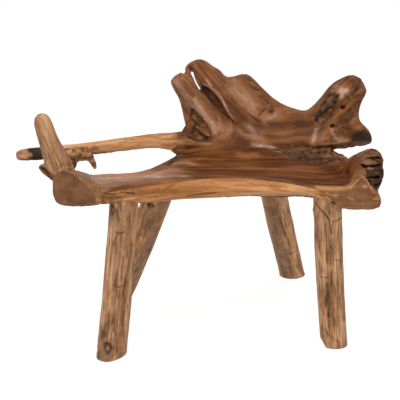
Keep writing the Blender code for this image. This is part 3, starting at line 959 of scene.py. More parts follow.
        dull = sketch.math("MAXIMUM", masks[Mask.TORN], masks[Mask.HOLLOW])
        dull = sketch.math("MAXIMUM", dull, masks[Mask.CHAR])
        for mask, strength in ((Mask.SAWN, 0.8), (Mask.SAP, 0.4)):
            dull = sketch.math("MAXIMUM", dull, sketch.math("MULTIPLY", masks[mask], strength))
        rough = sketch.math("MULTIPLY_ADD", fibres["Fibre"], 0.16, self.gloss_rough - 0.08)
        rough = sketch.math("MULTIPLY_ADD", dull, 0.85 - self.gloss_rough, rough, clamp=True)
        sketch.link(rough, shader, "Roughness")
        shader.inputs["Specular IOR Level"].default_value = self.specular
        relief = sketch.math("MULTIPLY_ADD", sketch.math("MULTIPLY", lump, dull), 2.5, fibres["Relief"])
        bump = sketch.add("ShaderNodeBump", {"Strength": 0.8, "Distance": self.relief, "Height": relief})
        sketch.link(bump.outputs[0], shader, "Normal")
        return made


TORN_BROWN = ((0.026, 0.013, 0.007), (0.105, 0.048, 0.023), (0.25, 0.132, 0.07))
GOLD = ((0.25, 0.092, 0.027), (0.5, 0.22, 0.08), (0.66, 0.35, 0.155))
POLISHED = WoodFinish(
    name="polished_teak_root",
    heart=((0.043, 0.01, 0.002), (0.114, 0.032, 0.006), (0.24, 0.086, 0.024)),
    sap=GOLD,
    torn=TORN_BROWN,
    sawn=((0.132, 0.057, 0.026), (0.205, 0.097, 0.047)),
    pale=(0.415, 0.186, 0.088),
    heart_at=(-0.235, -0.315, 0.415),
)
RAIL = replace(
    POLISHED,
    name="pale_teak_rail",
    sap=((0.275, 0.108, 0.037), (0.55, 0.257, 0.11), (0.7, 0.4, 0.2)),
)
TAN = WoodFinish(
    name="tan_teak",
    heart=((0.175, 0.078, 0.032), (0.41, 0.2, 0.09), (0.58, 0.33, 0.17)),
    sap=GOLD,
    torn=TORN_BROWN,
    sawn=((0.18, 0.095, 0.05), (0.33, 0.195, 0.115)),
    pale=(0.6, 0.37, 0.215),
    sheen_bloom=(0.64, 0.42, 0.26),
    gloss_rough=0.6,
    specular=0.15,
    spread=0.155,
    weathered=0.75,
    checks=0.018,
    relief=0.0007,
)


@dataclass
class CarvedRoot:
    """The seat, the back and the side rail, carved from roots that flow into each other.

    Attributes:
        voxel: Size of the faces before they are thinned.
        triangles: Triangles that the three pieces keep together.
        bed_at: A point of the sloping joint between seat and back.
        bed_slope: How steeply the joint falls to the rear.
        overlap: How far the back sinks into the seat before both are melted together.
        sawn_outline: Bare wood of the sawn left end, as x and z. Bark shows outside it.
        front_edge: Front edge of the seat: x, y, height of its rim and of its underside.
        split: The open split in the left limb of the back.
        seam: Where the back's sweep runs out into the seat.
        rail_line: Middle line of the rail.
        gnarl_line: Middle line of the rail's gnarled knot.
        gnarl_pits: Pits of that knot.
        tongue: Pale wood that runs from the rail into the root.
        crevice: Gap between the seat and the right half of the back.
        rough_band: Torn wood in front of that gap.
        notch: Notch in the top of the left limb.
        splinter: Splinter at the foot of the left limb.
        bright_edges: Worn edges of the broken right end, painted golden as highlights.
        edge_width: How far those edges reach to both sides.
    """

    voxel: float = 0.002
    triangles: int = 316_000
    bed_at: Place = (0.0, 0.0704, 0.4502)
    bed_slope: float = math.radians(40)
    overlap: float = 0.001

    sawn_outline: Sequence[tuple[float, float]] = (
        (-360, 370), (-360, 500), (-294, 484), (-274, 474), (-251, 456), (-239, 444), (-229, 434),
        (-223, 423), (-221, 414), (-228, 395), (-240, 370),
    )
    front_edge: Sequence[tuple[float, float, float, float]] = (
        (-270, -293, 430, 393), (-211, -299, 431, 391), (-146, -295, 442, 395), (-51, -274, 450, 396),
        (34, -261, 452, 397), (156, -261, 451, 407), (233, -279, 445, 414), (289, -287, 435, 413),
        (339, -285, 428, 389),
    )
    split: Sequence[Place] = (
        (26, 116, 612), (42, 113, 599), (60, 109, 584), (77, 106, 565), (91, 106, 547), (102, 106, 532),
        (115, 104, 519),
    )
    seam: Sequence[Place] = ((5, 68, 455), (100, 70, 455), (215, 66, 453))
    rail_line: Sequence[Place] = ((-493, 110, 422), (-364, 110, 433), (-178, 110, 455), (-54, 106, 463))
    gnarl_line: Sequence[Place] = (
        (-358, 90, 424), (-318, 80, 432), (-288, 76, 436), (-276, 67, 420), (-266, 66, 394),
    )
    gnarl_pits: Sequence[Place] = (
        (-337, 53, 436), (-326, 67, 447), (-313, 75, 453), (-306, 57, 435), (-295, 61, 448),
        (-285, 70, 440), (-317, 31, 427),
    )
    tongue: Sequence[Place] = (
        (-90, 86, 474), (-50, 84, 470), (-17, 78, 464), (24, 72, 462), (54, 71, 464),
    )
    crevice: Sequence[Place] = (
        (225, 58, 452), (256, 43, 449), (283, 36, 448), (310, 33, 447), (338, 34, 448), (363, 24, 452),
    )
    rough_band: Sequence[Place] = (
        (262, 26, 445), (293, 10, 440), (332, -5, 435), (363, -14, 434), (390, -12, 436),
    )
    notch: Sequence[Place] = ((-22.5, 80, 657), (-22.5, 200, 657))
    splinter: Sequence[Place] = ((14, 102, 506), (32, 94, 494), (50, 90, 482))
    bright_edges: Sequence[Sequence[Place]] = (
        (
            (304, -286, 431), (332, -285, 428), (364, -284, 428), (383, -284, 433), (398, -280, 450),
            (410, -275, 460),
        ),
        ((412, -283, 459), (422, -283, 451), (433, -284, 432), (444, -284, 418), (456, -283, 405)),
        ((325, -288, 420), (340, -286, 415), (354, -285, 413)),
        ((378, -284, 411), (391, -285, 404)),
    )
    edge_width: float = 0.0026

    def bed_normal(self) -> Vector:
        """The way the joint's face looks."""
        return Vector((0.0, math.sin(self.bed_slope), math.cos(self.bed_slope)))

    def limbs(self) -> list[Loft]:
        """Wood that carries the rail into the root."""
        return [
            Loft(((-85, 106, 463.5), (-50, 102, 462.5), (-18, 94, 460), (20, 84, 456)),
                 (21.5, 25, 28.5, 20), (21.5, 25, 28.5, 20)),
            Loft(((-50, 86, 449), (-30, 66, 440), (-28, 40, 427)), (12, 14, 12), (12, 14, 12),
                 (1.0, 0.3, -0.5)),
            Loft(((-9, 110, 512), (-13, 106, 499), (-17, 104, 486), (-18, 104, 474)), (4, 9.5, 12, 13),
                 (6, 11, 13, 13)),
            Loft(((24.5, 136, 603), (31, 135, 595), (39, 133, 586)), (4.5, 8, 8), (8, 11, 11)),
        ]

    def rail_saw(self) -> Object:
        """The room that belongs to the rail, with a round end like its housing in the root.

        Returns:
            A closed solid.
        """
        room = block("rail_room", (-0.6, 0.045, 0.36), (-0.062, 0.2, 0.55))
        brace = block("brace_room", (-0.6, -0.129, 0.36), (-0.24, 0.046, 0.47))
        reach = (31.0, 31.0, 31.0)
        neck = Loft(((-70, 104.5, 463.5), (-46, 101, 462.5), (-22, 97.5, 461.5)), reach, reach)
        for tool in (brace, neck.solid("neck_room")):
            combined(room, tool, "UNION")
            bpy.data.objects.remove(tool)
        return room

    def bed_saw(self) -> Object:
        """The room above the joint between seat and back."""
        made = block("bed_room", (-1.0, -1.0, 0.0), (1.0, 1.0, 1.0))
        tilt = Matrix.Rotation(-self.bed_slope, 4, "X")
        made.data.transform(Matrix.Translation(self.bed_at) @ tilt)
        return made

    def back_cuts(self) -> list[Loft]:
        """Holes gouged into the back, and the notch in the top of its left limb."""
        return [
            Loft(self.notch, (6.5, 6.5), (10.5, 10.5), (0.0, 0.0, 1.0)),
            Loft(((413, 68, 571), (416.5, 68, 560)), (8.5, 7.2), (20, 20)),
            Loft(((386, 72, 518), (389, 72, 509.5)), (7.2, 6.6), (18, 18)),
        ]

    def rail_cuts(self) -> list[Loft]:
        """The arch under the gnarled knot of the rail."""
        width, height = 26.0, 32.0
        return [
            Loft(((-294.5, -150, 400), (-294.5, -60, 403), (-294.5, 45, 406)), (width, width, width),
                 (height, height, height), (0.0, 0.0, -1.0)),
        ]

    def dents(self) -> list[Dent]:
        """Torn hollows: the split, the foot of the left limb, the scar of the knob and the arm's caves."""
        arm = (-1000.0, -100.0)
        return [
            Dent(((26, 618), (44, 615), (63, 602), (79, 583), (90, 560), (99, 542), (118, 517), (100, 528),
                 (87, 541), (75, 549), (56, 567), (40, 583), (29, 601)), 11, 4, torn=0.7),
            Dent(((-3, 559), (10, 557), (24, 539), (41, 520), (52, 504), (60, 487), (55, 471), (36, 466),
                 (10, 472), (-4, 490), (7, 512), (-4, 530)), 12, 6, torn=0.62),
            Dent(((337, 520), (346, 548), (358, 570), (372, 589), (388, 605), (404, 597), (398, 567),
                 (383, 541), (362, 514), (346, 506)), 5, 5, torn=1.0),
            # The arm's caves are darkened with painted shade.
            Dent(((426, 467), (450, 466), (474, 463), (480, 440), (468, 424), (452, 419), (440, 434),
                 (427, 449)), 10, 4, arm, torn=1.0, hollow=0.45),
            Dent(((426, 449), (434, 451), (440, 443), (437, 434), (429, 437)), 10, 3, arm, hollow=0.9),
            Dent(((418, 474), (440, 476), (476, 472), (476, 467), (440, 469), (420, 469)), 14, 2.2, arm,
                 hollow=0.8),
            Dent(((430, 506), (450, 504), (462, 499), (462, 495), (448, 499), (430, 501)), 12, 2.2, arm,
                 hollow=0.8),
            Dent(((444, 490), (462, 489), (474, 484), (474, 480), (460, 483), (446, 485)), 10, 2.2, arm,
                 hollow=0.7),
        ]

    def seat_cuts(self) -> list[Loft]:
        """Fissures torn into the right arm and the crack of the boulder."""
        arm = (0.0, 1.0, -0.25)
        return [
            Loft(((418, -232, 471), (430, -229, 470), (444, -226, 470), (458, -219, 469),
                 (474, -196, 466)), (1.5, 3, 3.2, 3, 2.6), (10, 24, 28, 26, 20), arm),
            Loft(((424, -262, 452), (436, -252, 449), (450, -242, 446), (468, -222, 444)),
                 (1.8, 4, 4.2, 3), (14, 30, 32, 26), arm),
            Loft(((430, -284, 440), (440, -268, 432), (454, -250, 428), (468, -232, 428)), (2.5, 6, 6, 4),
                 (12, 26, 24, 18), arm),
            Loft(((424, -205, 484), (438, -204, 487), (452, -203, 487), (470, -190, 482)),
                 (1.2, 2.6, 2.6, 2.2), (8, 20, 20, 16), arm),
            Loft(((446, -216, 480), (458, -211, 479), (472, -194, 476)), (1, 2.6, 2.6), (6, 16, 18), arm),
            Loft(((381, 34, 458), (381, 13, 446), (375, -10, 438)), (3, 2.6, 1.2), (22, 18, 8),
                 (0.25, 0.35, -1.0)),
        ]

    def strokes(self) -> list[Stroke]:
        """Fine carving of the front: creases, lips, ridges and worn places, with painted sheen, highlights
        and shade.
        """
        return [
            # Strokes that lay pale paint sheen and highlights; those that lay hollow paint shade.
            Stroke(((34, 120, 622), (48, 117, 617), (68, 112, 603), (84, 109, 583), (95, 107, 562),
                   (106, 108, 543), (122, 105, 520)), 5.6, 2.4, pale=0.95),
            Stroke(((20, 116, 602), (36, 116, 578), (52, 115, 561), (74, 113, 542), (92, 112, 529),
                   (112, 104, 511)), 5, 2, pale=0.5),
            Stroke(((88, 108, 552), (103, 107, 533), (116, 104, 518)), 3, -5, hollow=0.85),
            Stroke(((118, 101, 514), (124, 94, 497), (116, 84, 477)), 6, -3, hollow=0.25),
            Stroke(((92, 122, 620), (89, 116, 603), (102, 113, 586)), 8, -2),
            Stroke(((10, 106, 582), (25, 104, 560), (36, 100, 540), (58, 96, 517), (66, 88, 495)), 17, 0.8,
                   pale=0.88),
            Stroke(((43, 115, 633), (54, 114, 619)), 8, pale=0.85),
            Stroke(((400, 94, 615), (411, 84, 609), (422, 78, 608)), 17, pale=1.0),
            Stroke(((411, 82, 607), (411, 76, 592)), 11, pale=1.0),
            Stroke(((346, 84, 501), (341, 79, 487), (336, 71, 471)), 10.5, pale=1.0),
            Stroke(((387, 71, 503), (389, 66, 492), (400, 55, 477), (416, 48, 475), (425, 46, 481)), 6,
                   1.2, pale=1.0),
            Stroke(((402, 54, 476), (418, 47, 474)), 9, pale=1.0),
            Stroke(((204, 111, 521), (219, 115, 532), (234, 116, 536)), 22, pale=0.8),
            Stroke(((159, 98, 509), (174, 92, 487), (192, 91, 480)), 24, pale=0.8),
            Stroke(((172, 77, 459), (188, 74, 457), (217, 70, 454), (245, 42, 449)), 12, 1.2, pale=1.0),
            Stroke(((134, 30, 445), (152, 26, 445), (171, 30, 445)), 13, pale=0.68),
            Stroke(((-110, -186, 437), (-54, -217, 443), (-17, -230, 449)), 24, pale=1.0),
            Stroke(((-46, -29, 430), (-21, -33, 435), (4, -48, 435)), 16, pale=0.8),
            Stroke(((-260, -190, 430), (-214, -180, 428), (-150, -170, 427), (-95, -160, 428)), 85,
                   pale=0.83),
            Stroke(((24, -94, 434), (128, -82, 431), (226, -67, 427)), 3, pale=0.75),
            Stroke(((-47, 88, 442), (-36, 60, 440), (-34, 36, 437), (-41, 9, 433), (-60, -30, 430)), 7.5,
                   torn=1.0, hollow=0.35),
            Stroke(((-36, 94, 488), (-20, 92, 482), (-6, 78, 480), (16, 76, 473)), 4, -5, torn=1.0,
                   hollow=0.6),
            *(Stroke(line, 3, 1.8) for line in self.bright_edges[:2]),
            Stroke(((-9, 130, 671), (-2, 122, 663), (5, 119, 652)), 4.2, -6, torn=0.95),
            Stroke(((94, 114, 593), (110, 113, 581), (129, 109, 563), (154, 106, 544), (175, 106, 529),
                   (199, 104, 509)), 3, -2.2, hollow=0.35),
            Stroke(((102, 136, 636), (96, 124, 624), (95, 117, 602)), 7, -3.5),
            Stroke(((188, 112, 536), (199, 116, 547), (208, 118, 552)), 2.4, -1.6, hollow=0.6),
            Stroke(((168, 130, 620), (196, 123, 587), (222, 118, 548)), 10, -2.8, torn=0.55),
            Stroke(self.splinter, 6, 6),
            Stroke(((4, 106, 533), (22, 100, 511), (38, 96, 496)), 3.4, 5),
            Stroke(((18, 96, 490), (32, 90, 480), (44, 88, 474)), 3.4, -4, hollow=0.7),
            Stroke(((426, 70, 591), (445, 66, 594), (458, 65, 598)), 5.5, -1.2, torn=0.7),
            Stroke(((424, 78, 606), (445, 70, 608), (470, 74, 612)), 3.2, -1.6),
            Stroke(((436, 76, 616), (452, 72, 618), (472, 78, 621)), 3, -1.4),
            Stroke(((394, 70, 508), (420, 60, 526), (437, 56, 541)), 7, -4.5, torn=0.6),
            Stroke(((402, 60, 488), (432, 50, 509), (459, 53, 525)), 7, -3, torn=0.4),
            Stroke(((420, 48, 479), (450, 36, 495), (477, 42, 505)), 7, -2.4, torn=0.4),
            Stroke(((452, 34, 484), (470, 29, 494), (486, 29, 488)), 21, char=0.92),
            Stroke(self.crevice, 6, -6, torn=1.0, hollow=0.35),
            Stroke(self.rough_band, 15, 1.5, torn=0.95, hollow=0.4),
            Stroke(((-42, 105, 629), (-20, 98, 600), (2, 98, 567), (43, 96, 525), (102, 91, 492)), 32,
                   pale=0.75),
            Stroke(((19, 124, 676), (46, 122, 654), (68, 117, 622)), 18, pale=0.38),
            Stroke(((118, 119, 607), (149, 118, 586), (170, 115, 559)), 34, pale=0.8),
            Stroke(((124, 95, 503), (163, 89, 482), (196, 83, 469)), 16, pale=0.7),
            Stroke(((222, 117, 542),), 10, -1.5, hollow=0.35),
            Stroke(((-204, -297, 424), (-185, -298, 420), (-157, -296, 424), (-133, -293, 421)), 2.6, -2,
                   hollow=0.55),
            Stroke(((-195, -297, 410), (-155, -294, 412), (-120, -290, 409)), 3, -2.4, hollow=0.5),
            Stroke(((-10, -260, 405), (36, -260, 411), (62, -258, 413)), 2.6, -1.6, hollow=0.45),
            Stroke(((342, -284, 391),), 7.5, -7, hollow=0.85),
            Stroke(((300, -284, 428), (318, -286, 410), (334, -285, 396)), 3.4, -4, hollow=0.5),
        ]

    def front_shares(self, work: Carving) -> tuple[np.ndarray, np.ndarray]:
        """Where the golden front and the broken right end lie.

        Args:
            work: The carving.

        Returns:
            How much of each vertex is golden front, and how much broken end.
        """
        x, y, z = work.points.T
        table = np.array(self.front_edge) / PER_METRE
        behind = y - np.interp(x, table[:, 0], table[:, 1])
        ragged = 0.006 * fractal(work.points, 30.0, 3, 3.1)
        down = smooth(0.0, -0.5, work.normals[:, 2]) * smooth(0.09, 0.07, behind)
        facing = np.maximum(smooth(-0.3, -0.62, work.normals[:, 1] + 8.0 * ragged), down)
        near = np.maximum(smooth(0.045, 0.03, behind), down)
        lower = 0.008 * smooth(0.06, -0.06, x)
        near *= smooth(0.0, -0.003, z - np.interp(x, table[:, 0], table[:, 2]) + lower + 0.3 * ragged)
        slant = x - (0.3 + 1.15 * (0.434 - z)) + ragged
        front = facing * near * smooth(-0.216, -0.19, x + 2.0 * ragged) * smooth(0.003, -0.003, slant)
        broken = facing * smooth(-0.003, 0.003, slant) * smooth(-0.235, -0.255, y)
        return front, broken

    def grain_flow(self, points: np.ndarray) -> np.ndarray:
        """Places along and across the grain, which sweeps up into both ends of the back.

        Args:
            points: Rows of x, y and z.

        Returns:
            Rows of three places, the first along the grain.
        """
        x, y, z = points.T
        rise = z - SEAT_HEIGHT
        soft = 0.03
        left = soft * np.log1p(np.exp(np.clip((0.16 - x) / soft, -20.0, 20.0)))
        right = soft * np.log1p(np.exp(np.clip((x - 0.33) / soft, -20.0, 20.0)))
        sweep = smooth(0.0, 0.09, rise) * np.minimum(1.1 * left + right, 0.26)
        wave = 0.007 * fractal(points, (7.0, 9.0, 9.0), 2, 11.0)
        return np.column_stack([x, rise - sweep + wave, y + wave])

    def build(self, frame: dict[str, Any], polished: Material, pale: Material) -> None:
        """Carves the three pieces.

        Args:
            frame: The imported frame.
            polished: Finish of the seat and the back.
            pale: Finish of the rail.
        """
        nodes = frame["nodes"]
        seat = copy_of(nodes["seat_root"], "seat_blank")
        back = copy_of(nodes["back_root"], "back_blank")
        rail = copy_of(nodes["side_rail"], "rail_blank")
        carve(seat, self.seat_cuts())
        carve(back, self.back_cuts())
        carve(rail, self.rail_cuts())
        back.data.transform(Matrix.Translation(-self.overlap * self.bed_normal()))
        limbs = [limb.solid(f"limb_{number}") for number, limb in enumerate(self.limbs())]
        blank = melted(joined("root_blank", [seat, back, rail, *limbs]), self.voxel)
        work = Carving(blank)
        log.info("root blank: %d vertices", work.count)
        self.shape(work)
        self.paint(work)
        work.store()
        thinned(blank, self.triangles)
        self.part(blank, polished, pale)
        bpy.data.objects.remove(blank)

    def shape(self, work: Carving) -> None:
        """Shapes the skin: evened out, swept into the back, torn where the root is torn.

        Args:
            work: The carving.
        """
        x, y, _ = work.points.T
        arm = smooth(0.4, 0.43, x) * smooth(0.02, -0.02, y)
        detail = np.maximum(arm, smooth(0.02, 0.006, line_distance(work.points, self.split)[0]))
        detail = np.maximum(detail, smooth(0.02, 0.012, line_distance(work.points, self.notch)[0]))
        sawn = smooth(0.012, 0.004, np.abs(self.saw_distance(work.points))) * smooth(-0.17, -0.2, x)
        work.relax(30, 1.0 - 0.85 * np.maximum(detail, sawn))
        away, _ = line_distance(work.points, self.seam)
        work.relax(90, smooth(0.05, 0.02, away) * smooth(0.5, 0.0, work.normals[:, 1]), firm=False)
        work.push(0.0012 * fractal(work.points, 14.0, 3, 1.7) * (1.0 - sawn))
        work.dent(self.dents())
        work.stroke(self.strokes())

    def paint_rail(self, work: Carving) -> None:
        """Paints the rail: tan wood, a burnt stretch near its free end and a gnarled knot.

        Args:
            work: The carving.
        """
        x, y, z = work.points.T
        ragged = 0.01 * fractal(work.points, 35.0, 3, 21.0)
        from_rail = line_distance(work.points, self.rail_line)[0]
        from_gnarl = line_distance(work.points, self.gnarl_line)[0]
        own = smooth(0.04, 0.03, from_rail) * smooth(-0.02, -0.06, x + ragged)
        own = np.maximum(own, smooth(-0.225, -0.235, x) * smooth(-0.131, -0.127, y))
        work.paint(Mask.SAP, own)
        tongue, share = front_distance(work.points, self.tongue)
        front = smooth(0.2, -0.1, work.normals[:, 1]) * smooth(0.03, 0.05, y)
        work.paint(Mask.SAP, 0.8 * front * smooth(0.015, 0.005, tongue + 0.013 * share + 0.6 * ragged))
        singe = 3.5 * ragged + 0.012 * smooth(-0.3, 0.6, work.normals[:, 1])
        burnt = smooth(-0.466, -0.438, x + singe) * smooth(-0.378, -0.418, x + singe)
        work.paint(Mask.TORN, own * smooth(-0.42, -0.45, x) * (0.3 + 0.35 * smooth(-0.004, 0.004, ragged)))
        work.paint(Mask.CHAR, 0.95 * burnt * own)
        near = np.flatnonzero(from_gnarl < 0.06)
        pits = np.zeros(work.count)
        pits[near] = fractal(work.points[near], 62.0, 4, 31.0)
        gnarled = smooth(0.036, 0.024, from_gnarl + ragged) * smooth(0.1, 0.09, y)
        brace = smooth(-0.285, -0.3, x) * smooth(0.06, 0.04, y) * smooth(-0.135, -0.125, y) * own
        work.paint(Mask.TORN, np.maximum(gnarled * (0.35 + 0.35 * smooth(-0.1, 0.2, pits)), 0.95 * brace))
        # Painted shade in the knot's pits, and the brace darkened with it.
        work.paint(Mask.HOLLOW, np.maximum(0.3 * gnarled * smooth(0.25, 0.5, pits), 0.35 * brace))
        prong = smooth(-0.29, -0.28, x) * smooth(0.44, 0.43, z)
        work.push(gnarled * (0.0003 * prong - 0.004 * (1.0 - prong) * smooth(0.05, 0.45, pits)))
        work.stroke([Stroke((place,), 4.2, -4, hollow=0.85) for place in self.gnarl_pits])

    def saw_distance(self, points: np.ndarray) -> np.ndarray:
        """Distance of points from the sawn face of the left end."""
        turn = math.radians(8)
        normal = np.array((-math.sin(turn), -math.cos(turn), 0.0))
        return (points - np.array((-0.2691, -0.3146, 0.45))) @ normal

    def paint(self, work: Carving) -> None:
        """Paints the masks and roughens what is torn.

        Args:
            work: The carving.
        """
        x, y, z = work.points.T
        work.flow = self.grain_flow(work.points)
        front, broken = self.front_shares(work)
        flat = smooth(0.003, 0.0012, np.abs(self.saw_distance(work.points))) * smooth(-0.185, -0.195, x)
        sawn = flat * smooth(-0.0012, 0.0012, Dent(self.sawn_outline, 0).inside(work.points))
        self.paint_rail(work)
        mottle = fractal(work.points, 55.0, 4, 13.0)
        behind = -self.saw_distance(work.points) + 0.016 * mottle
        bark = smooth(0.07, 0.05, behind) * smooth(-0.186, -0.215, x + 0.02 * mottle)
        bark *= smooth(-0.2, 0.2, work.normals[:, 2])
        bark = np.maximum(bark, flat - sawn)
        work.paint(Mask.SAP, np.maximum(np.maximum(front, broken), 0.8 * bark))
        left_end = front * smooth(-0.09, -0.16, x) * smooth(-0.4, 0.15, mottle)
        scratch = smooth(0.86, 0.95, ridged(work.points, (45.0, 45.0, 70.0), 2, 17.0))
        work.paint(Mask.TORN, broken * (0.6 + 0.2 * mottle) * (1.0 - 0.9 * scratch))
        work.paint(Mask.TORN, np.maximum(0.55 * bark, 0.6 * left_end))
        upright = smooth(0.455, 0.48, z) * smooth(0.3, 0.0, work.normals[:, 1]) * smooth(0.0, 0.02, y)
        lobes = upright * smooth(0.33, 0.39, x)
        swirl = fractal(work.flow, (9.0, 52.0, 52.0), 4, 6.6)
        # Painted sheen: the back's faces that look forward are paler, but for its right lobes.
        work.paint(Mask.PALE, 0.06 + 0.24 * (upright - lobes))
        work.paint(Mask.SAP, 0.2 * lobes * smooth(0.0, -0.35, swirl))
        work.paint(Mask.TORN, (0.26 * upright + 0.39 * lobes) * smooth(0.1, 0.42, swirl))
        edge = 0.01 * fractal(work.points, 40.0, 3, 5.5)
        arm = smooth(0.416, 0.428, x + edge) * smooth(0.0, -0.03, y) * smooth(0.418, 0.434, z)
        knuckles = arm * smooth(0.466, 0.48, z)
        work.paint(Mask.TORN, arm - 0.5 * knuckles)
        # The arm's top is paler: worn tone and painted sheen.
        work.paint(Mask.PALE, 0.45 * knuckles)
        boulder = smooth(0.35, 0.365, x + edge) * smooth(-0.02, 0.0, y + edge) * smooth(0.49, 0.47, z)
        boulder *= smooth(0.4, 0.42, z)
        work.paint(Mask.SAP, 0.5 * boulder)
        work.paint(Mask.TORN, 0.75 * boulder)
        ledge = smooth(-0.006, 0.006, y + 0.5 * (x - 0.3) + edge) * smooth(0.25, 0.285, x)
        ledge *= smooth(0.425, 0.435, z) * smooth(0.466, 0.457, z)
        work.paint(Mask.TORN, 0.7 * ledge * smooth(0.41, 0.39, x))
        under = smooth(-0.15, -0.55, work.normals[:, 2]) * smooth(0.445, 0.43, z) * (1.0 - front)
        rear = smooth(0.25, 0.65, work.normals[:, 1])
        work.paint(Mask.TORN, np.maximum(0.75 * under, (0.3 + 0.35 * smooth(-0.1, 0.4, swirl)) * rear))
        torn = work.masks[Mask.TORN] * (1.0 - sawn)
        furrow = ridged(work.flow, (22.0, 95.0, 95.0), 3, 2.0)
        lumps = fractal(work.points, 60.0, 3, 8.0)
        work.push(torn * (0.003 * (furrow - 0.5) + 0.0012 * lumps) + 0.0022 * ledge * lumps)
        # Painted shade in the dips of the torn ledge.
        work.paint(Mask.HOLLOW, 0.6 * ledge * smooth(0.05, 0.4, -lumps))
        depth = work.hollowness(30)
        # Painted shade, darker the deeper a place lies below its surround.
        work.paint(Mask.HOLLOW, 0.55 * smooth(0.002, 0.009, depth) * (1.0 - sawn))
        # Ridges of the back are paler: worn tone and painted sheen.
        work.paint(Mask.PALE, 0.4 * smooth(0.0006, 0.004, -depth) * (1.0 - torn) * smooth(0.46, 0.48, z))
        work.masks[Mask.TORN] *= 1.0 - sawn
        work.masks[Mask.SAWN] = np.maximum(sawn, 0.6 * broken * (1.0 - scratch))
        work.masks[Mask.SAP] *= 1.0 - sawn
        # Painted highlights: the worn edges and the splinter turn golden, with the shade and end grain
        # taken off them.
        for line in (*self.bright_edges, self.splinter):
            away, _ = front_distance(work.points, line)
            near = np.exp(-((away / self.edge_width) ** 2)) * (np.abs(y - line[1][1] / PER_METRE) < 0.03)
            near *= smooth(0.5, 0.1, work.normals[:, 1])
            for mask in (Mask.SAWN, Mask.TORN, Mask.HOLLOW):
                work.masks[mask] *= 1.0 - 0.85 * near
            work.paint(Mask.SAP, 0.9 * near)

    def part(self, blank: Object, polished: Material, pale: Material) -> None:
        """Parts the carved skin along its joints and finishes the pieces.

        Args:
            blank: The carved skin.
            polished: Finish of the seat and the back.
            pale: Finish of the rail.
        """
        rail_saw = self.rail_saw()
        bed_saw = self.bed_saw()
        rail = combined(duplicate(blank, "carved_rail"), rail_saw, "INTERSECT")
        rest = combined(duplicate(blank, "carved_seat"), rail_saw, "DIFFERENCE")
        back = combined(duplicate(rest, "carved_back"), bed_saw, "INTERSECT")
        seat = combined(rest, bed_saw, "DIFFERENCE")
        for tool in (rail_saw, bed_saw):
            bpy.data.objects.remove(tool)
        for piece, node, slot, material in (
            (seat, "seat_root", Slot.POLISHED, polished),
            (back, "back_root", Slot.POLISHED, polished),
            (rail, "side_rail", Slot.WEATHERED, pale),
        ):
            keep_largest(piece)
            mend_masks(piece, blank)
            dress(piece, material, slot, node)


def mend_masks(piece: Object, blank: Object) -> None:
    """Gives the vertices that a cut made the masks of the skin that was there before.

    Args:
        piece: The cut piece.
        blank: The skin that it was cut from.
    """
    flow = np.empty(len(piece.data.vertices) * 3, np.float32)
    piece.data.attributes["flow"].data.foreach_get("vector", flow)
    fresh = np.flatnonzero(~flow.reshape(-1, 3).any(axis=1))
    tree = kdtree.KDTree(len(blank.data.vertices))
    for vertex in blank.data.vertices:
        tree.insert(vertex.co, vertex.index)
    tree.balance()
    for index in fresh.tolist():
        source = tree.find(piece.data.vertices[index].co)[1]
        for mask in Mask:
            value = blank.data.attributes[mask.value].data[source].value
            piece.data.attributes[mask.value].data[index].value = value
        piece.data.attributes["flow"].data[index].vector = blank.data.attributes["flow"].data[source].vector


def dress(piece: Object, material: Material, slot: Slot, *nodes: str) -> None:
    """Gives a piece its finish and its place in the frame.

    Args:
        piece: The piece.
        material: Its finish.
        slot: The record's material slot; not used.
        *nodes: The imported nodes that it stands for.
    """
    piece.data.materials.clear()
    piece.data.materials.append(material)
    piece.data.shade_smooth()
    piece.data.set_sharp_from_angle(angle=SHARP_ANGLE)
    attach(piece, BODY)
    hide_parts(*nodes)
    piece.data.calc_loop_triangles()
    log.info("%s: %d triangles", piece.name, len(piece.data.loop_triangles))


@dataclass(frozen=True)
class Knot:
    """A knot in a pole, in millimetres.

    Attributes:
        at: Its place on the surface.
        radius: How far its rings reach.
        depth: Depth of its rings.
    """

    at: Place
    radius: float
    depth: float


@dataclass(frozen=True)
class LegPlan:
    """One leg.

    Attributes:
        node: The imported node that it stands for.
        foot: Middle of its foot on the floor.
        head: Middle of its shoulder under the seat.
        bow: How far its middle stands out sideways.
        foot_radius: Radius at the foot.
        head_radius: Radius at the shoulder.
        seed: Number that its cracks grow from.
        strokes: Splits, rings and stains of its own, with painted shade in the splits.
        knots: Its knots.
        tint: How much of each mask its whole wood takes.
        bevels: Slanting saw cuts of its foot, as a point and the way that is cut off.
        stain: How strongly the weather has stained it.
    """

    node: str
    foot: Place
    head: Place
    bow: float
    foot_radius: float
    head_radius: float
    seed: int
    strokes: Sequence[Stroke] = ()
    knots: Sequence[Knot] = ()
    tint: dict[Mask, float] = field(default_factory=dict)
    bevels: Sequence[tuple[Place, Place]] = ()
    stain: float = 0.42


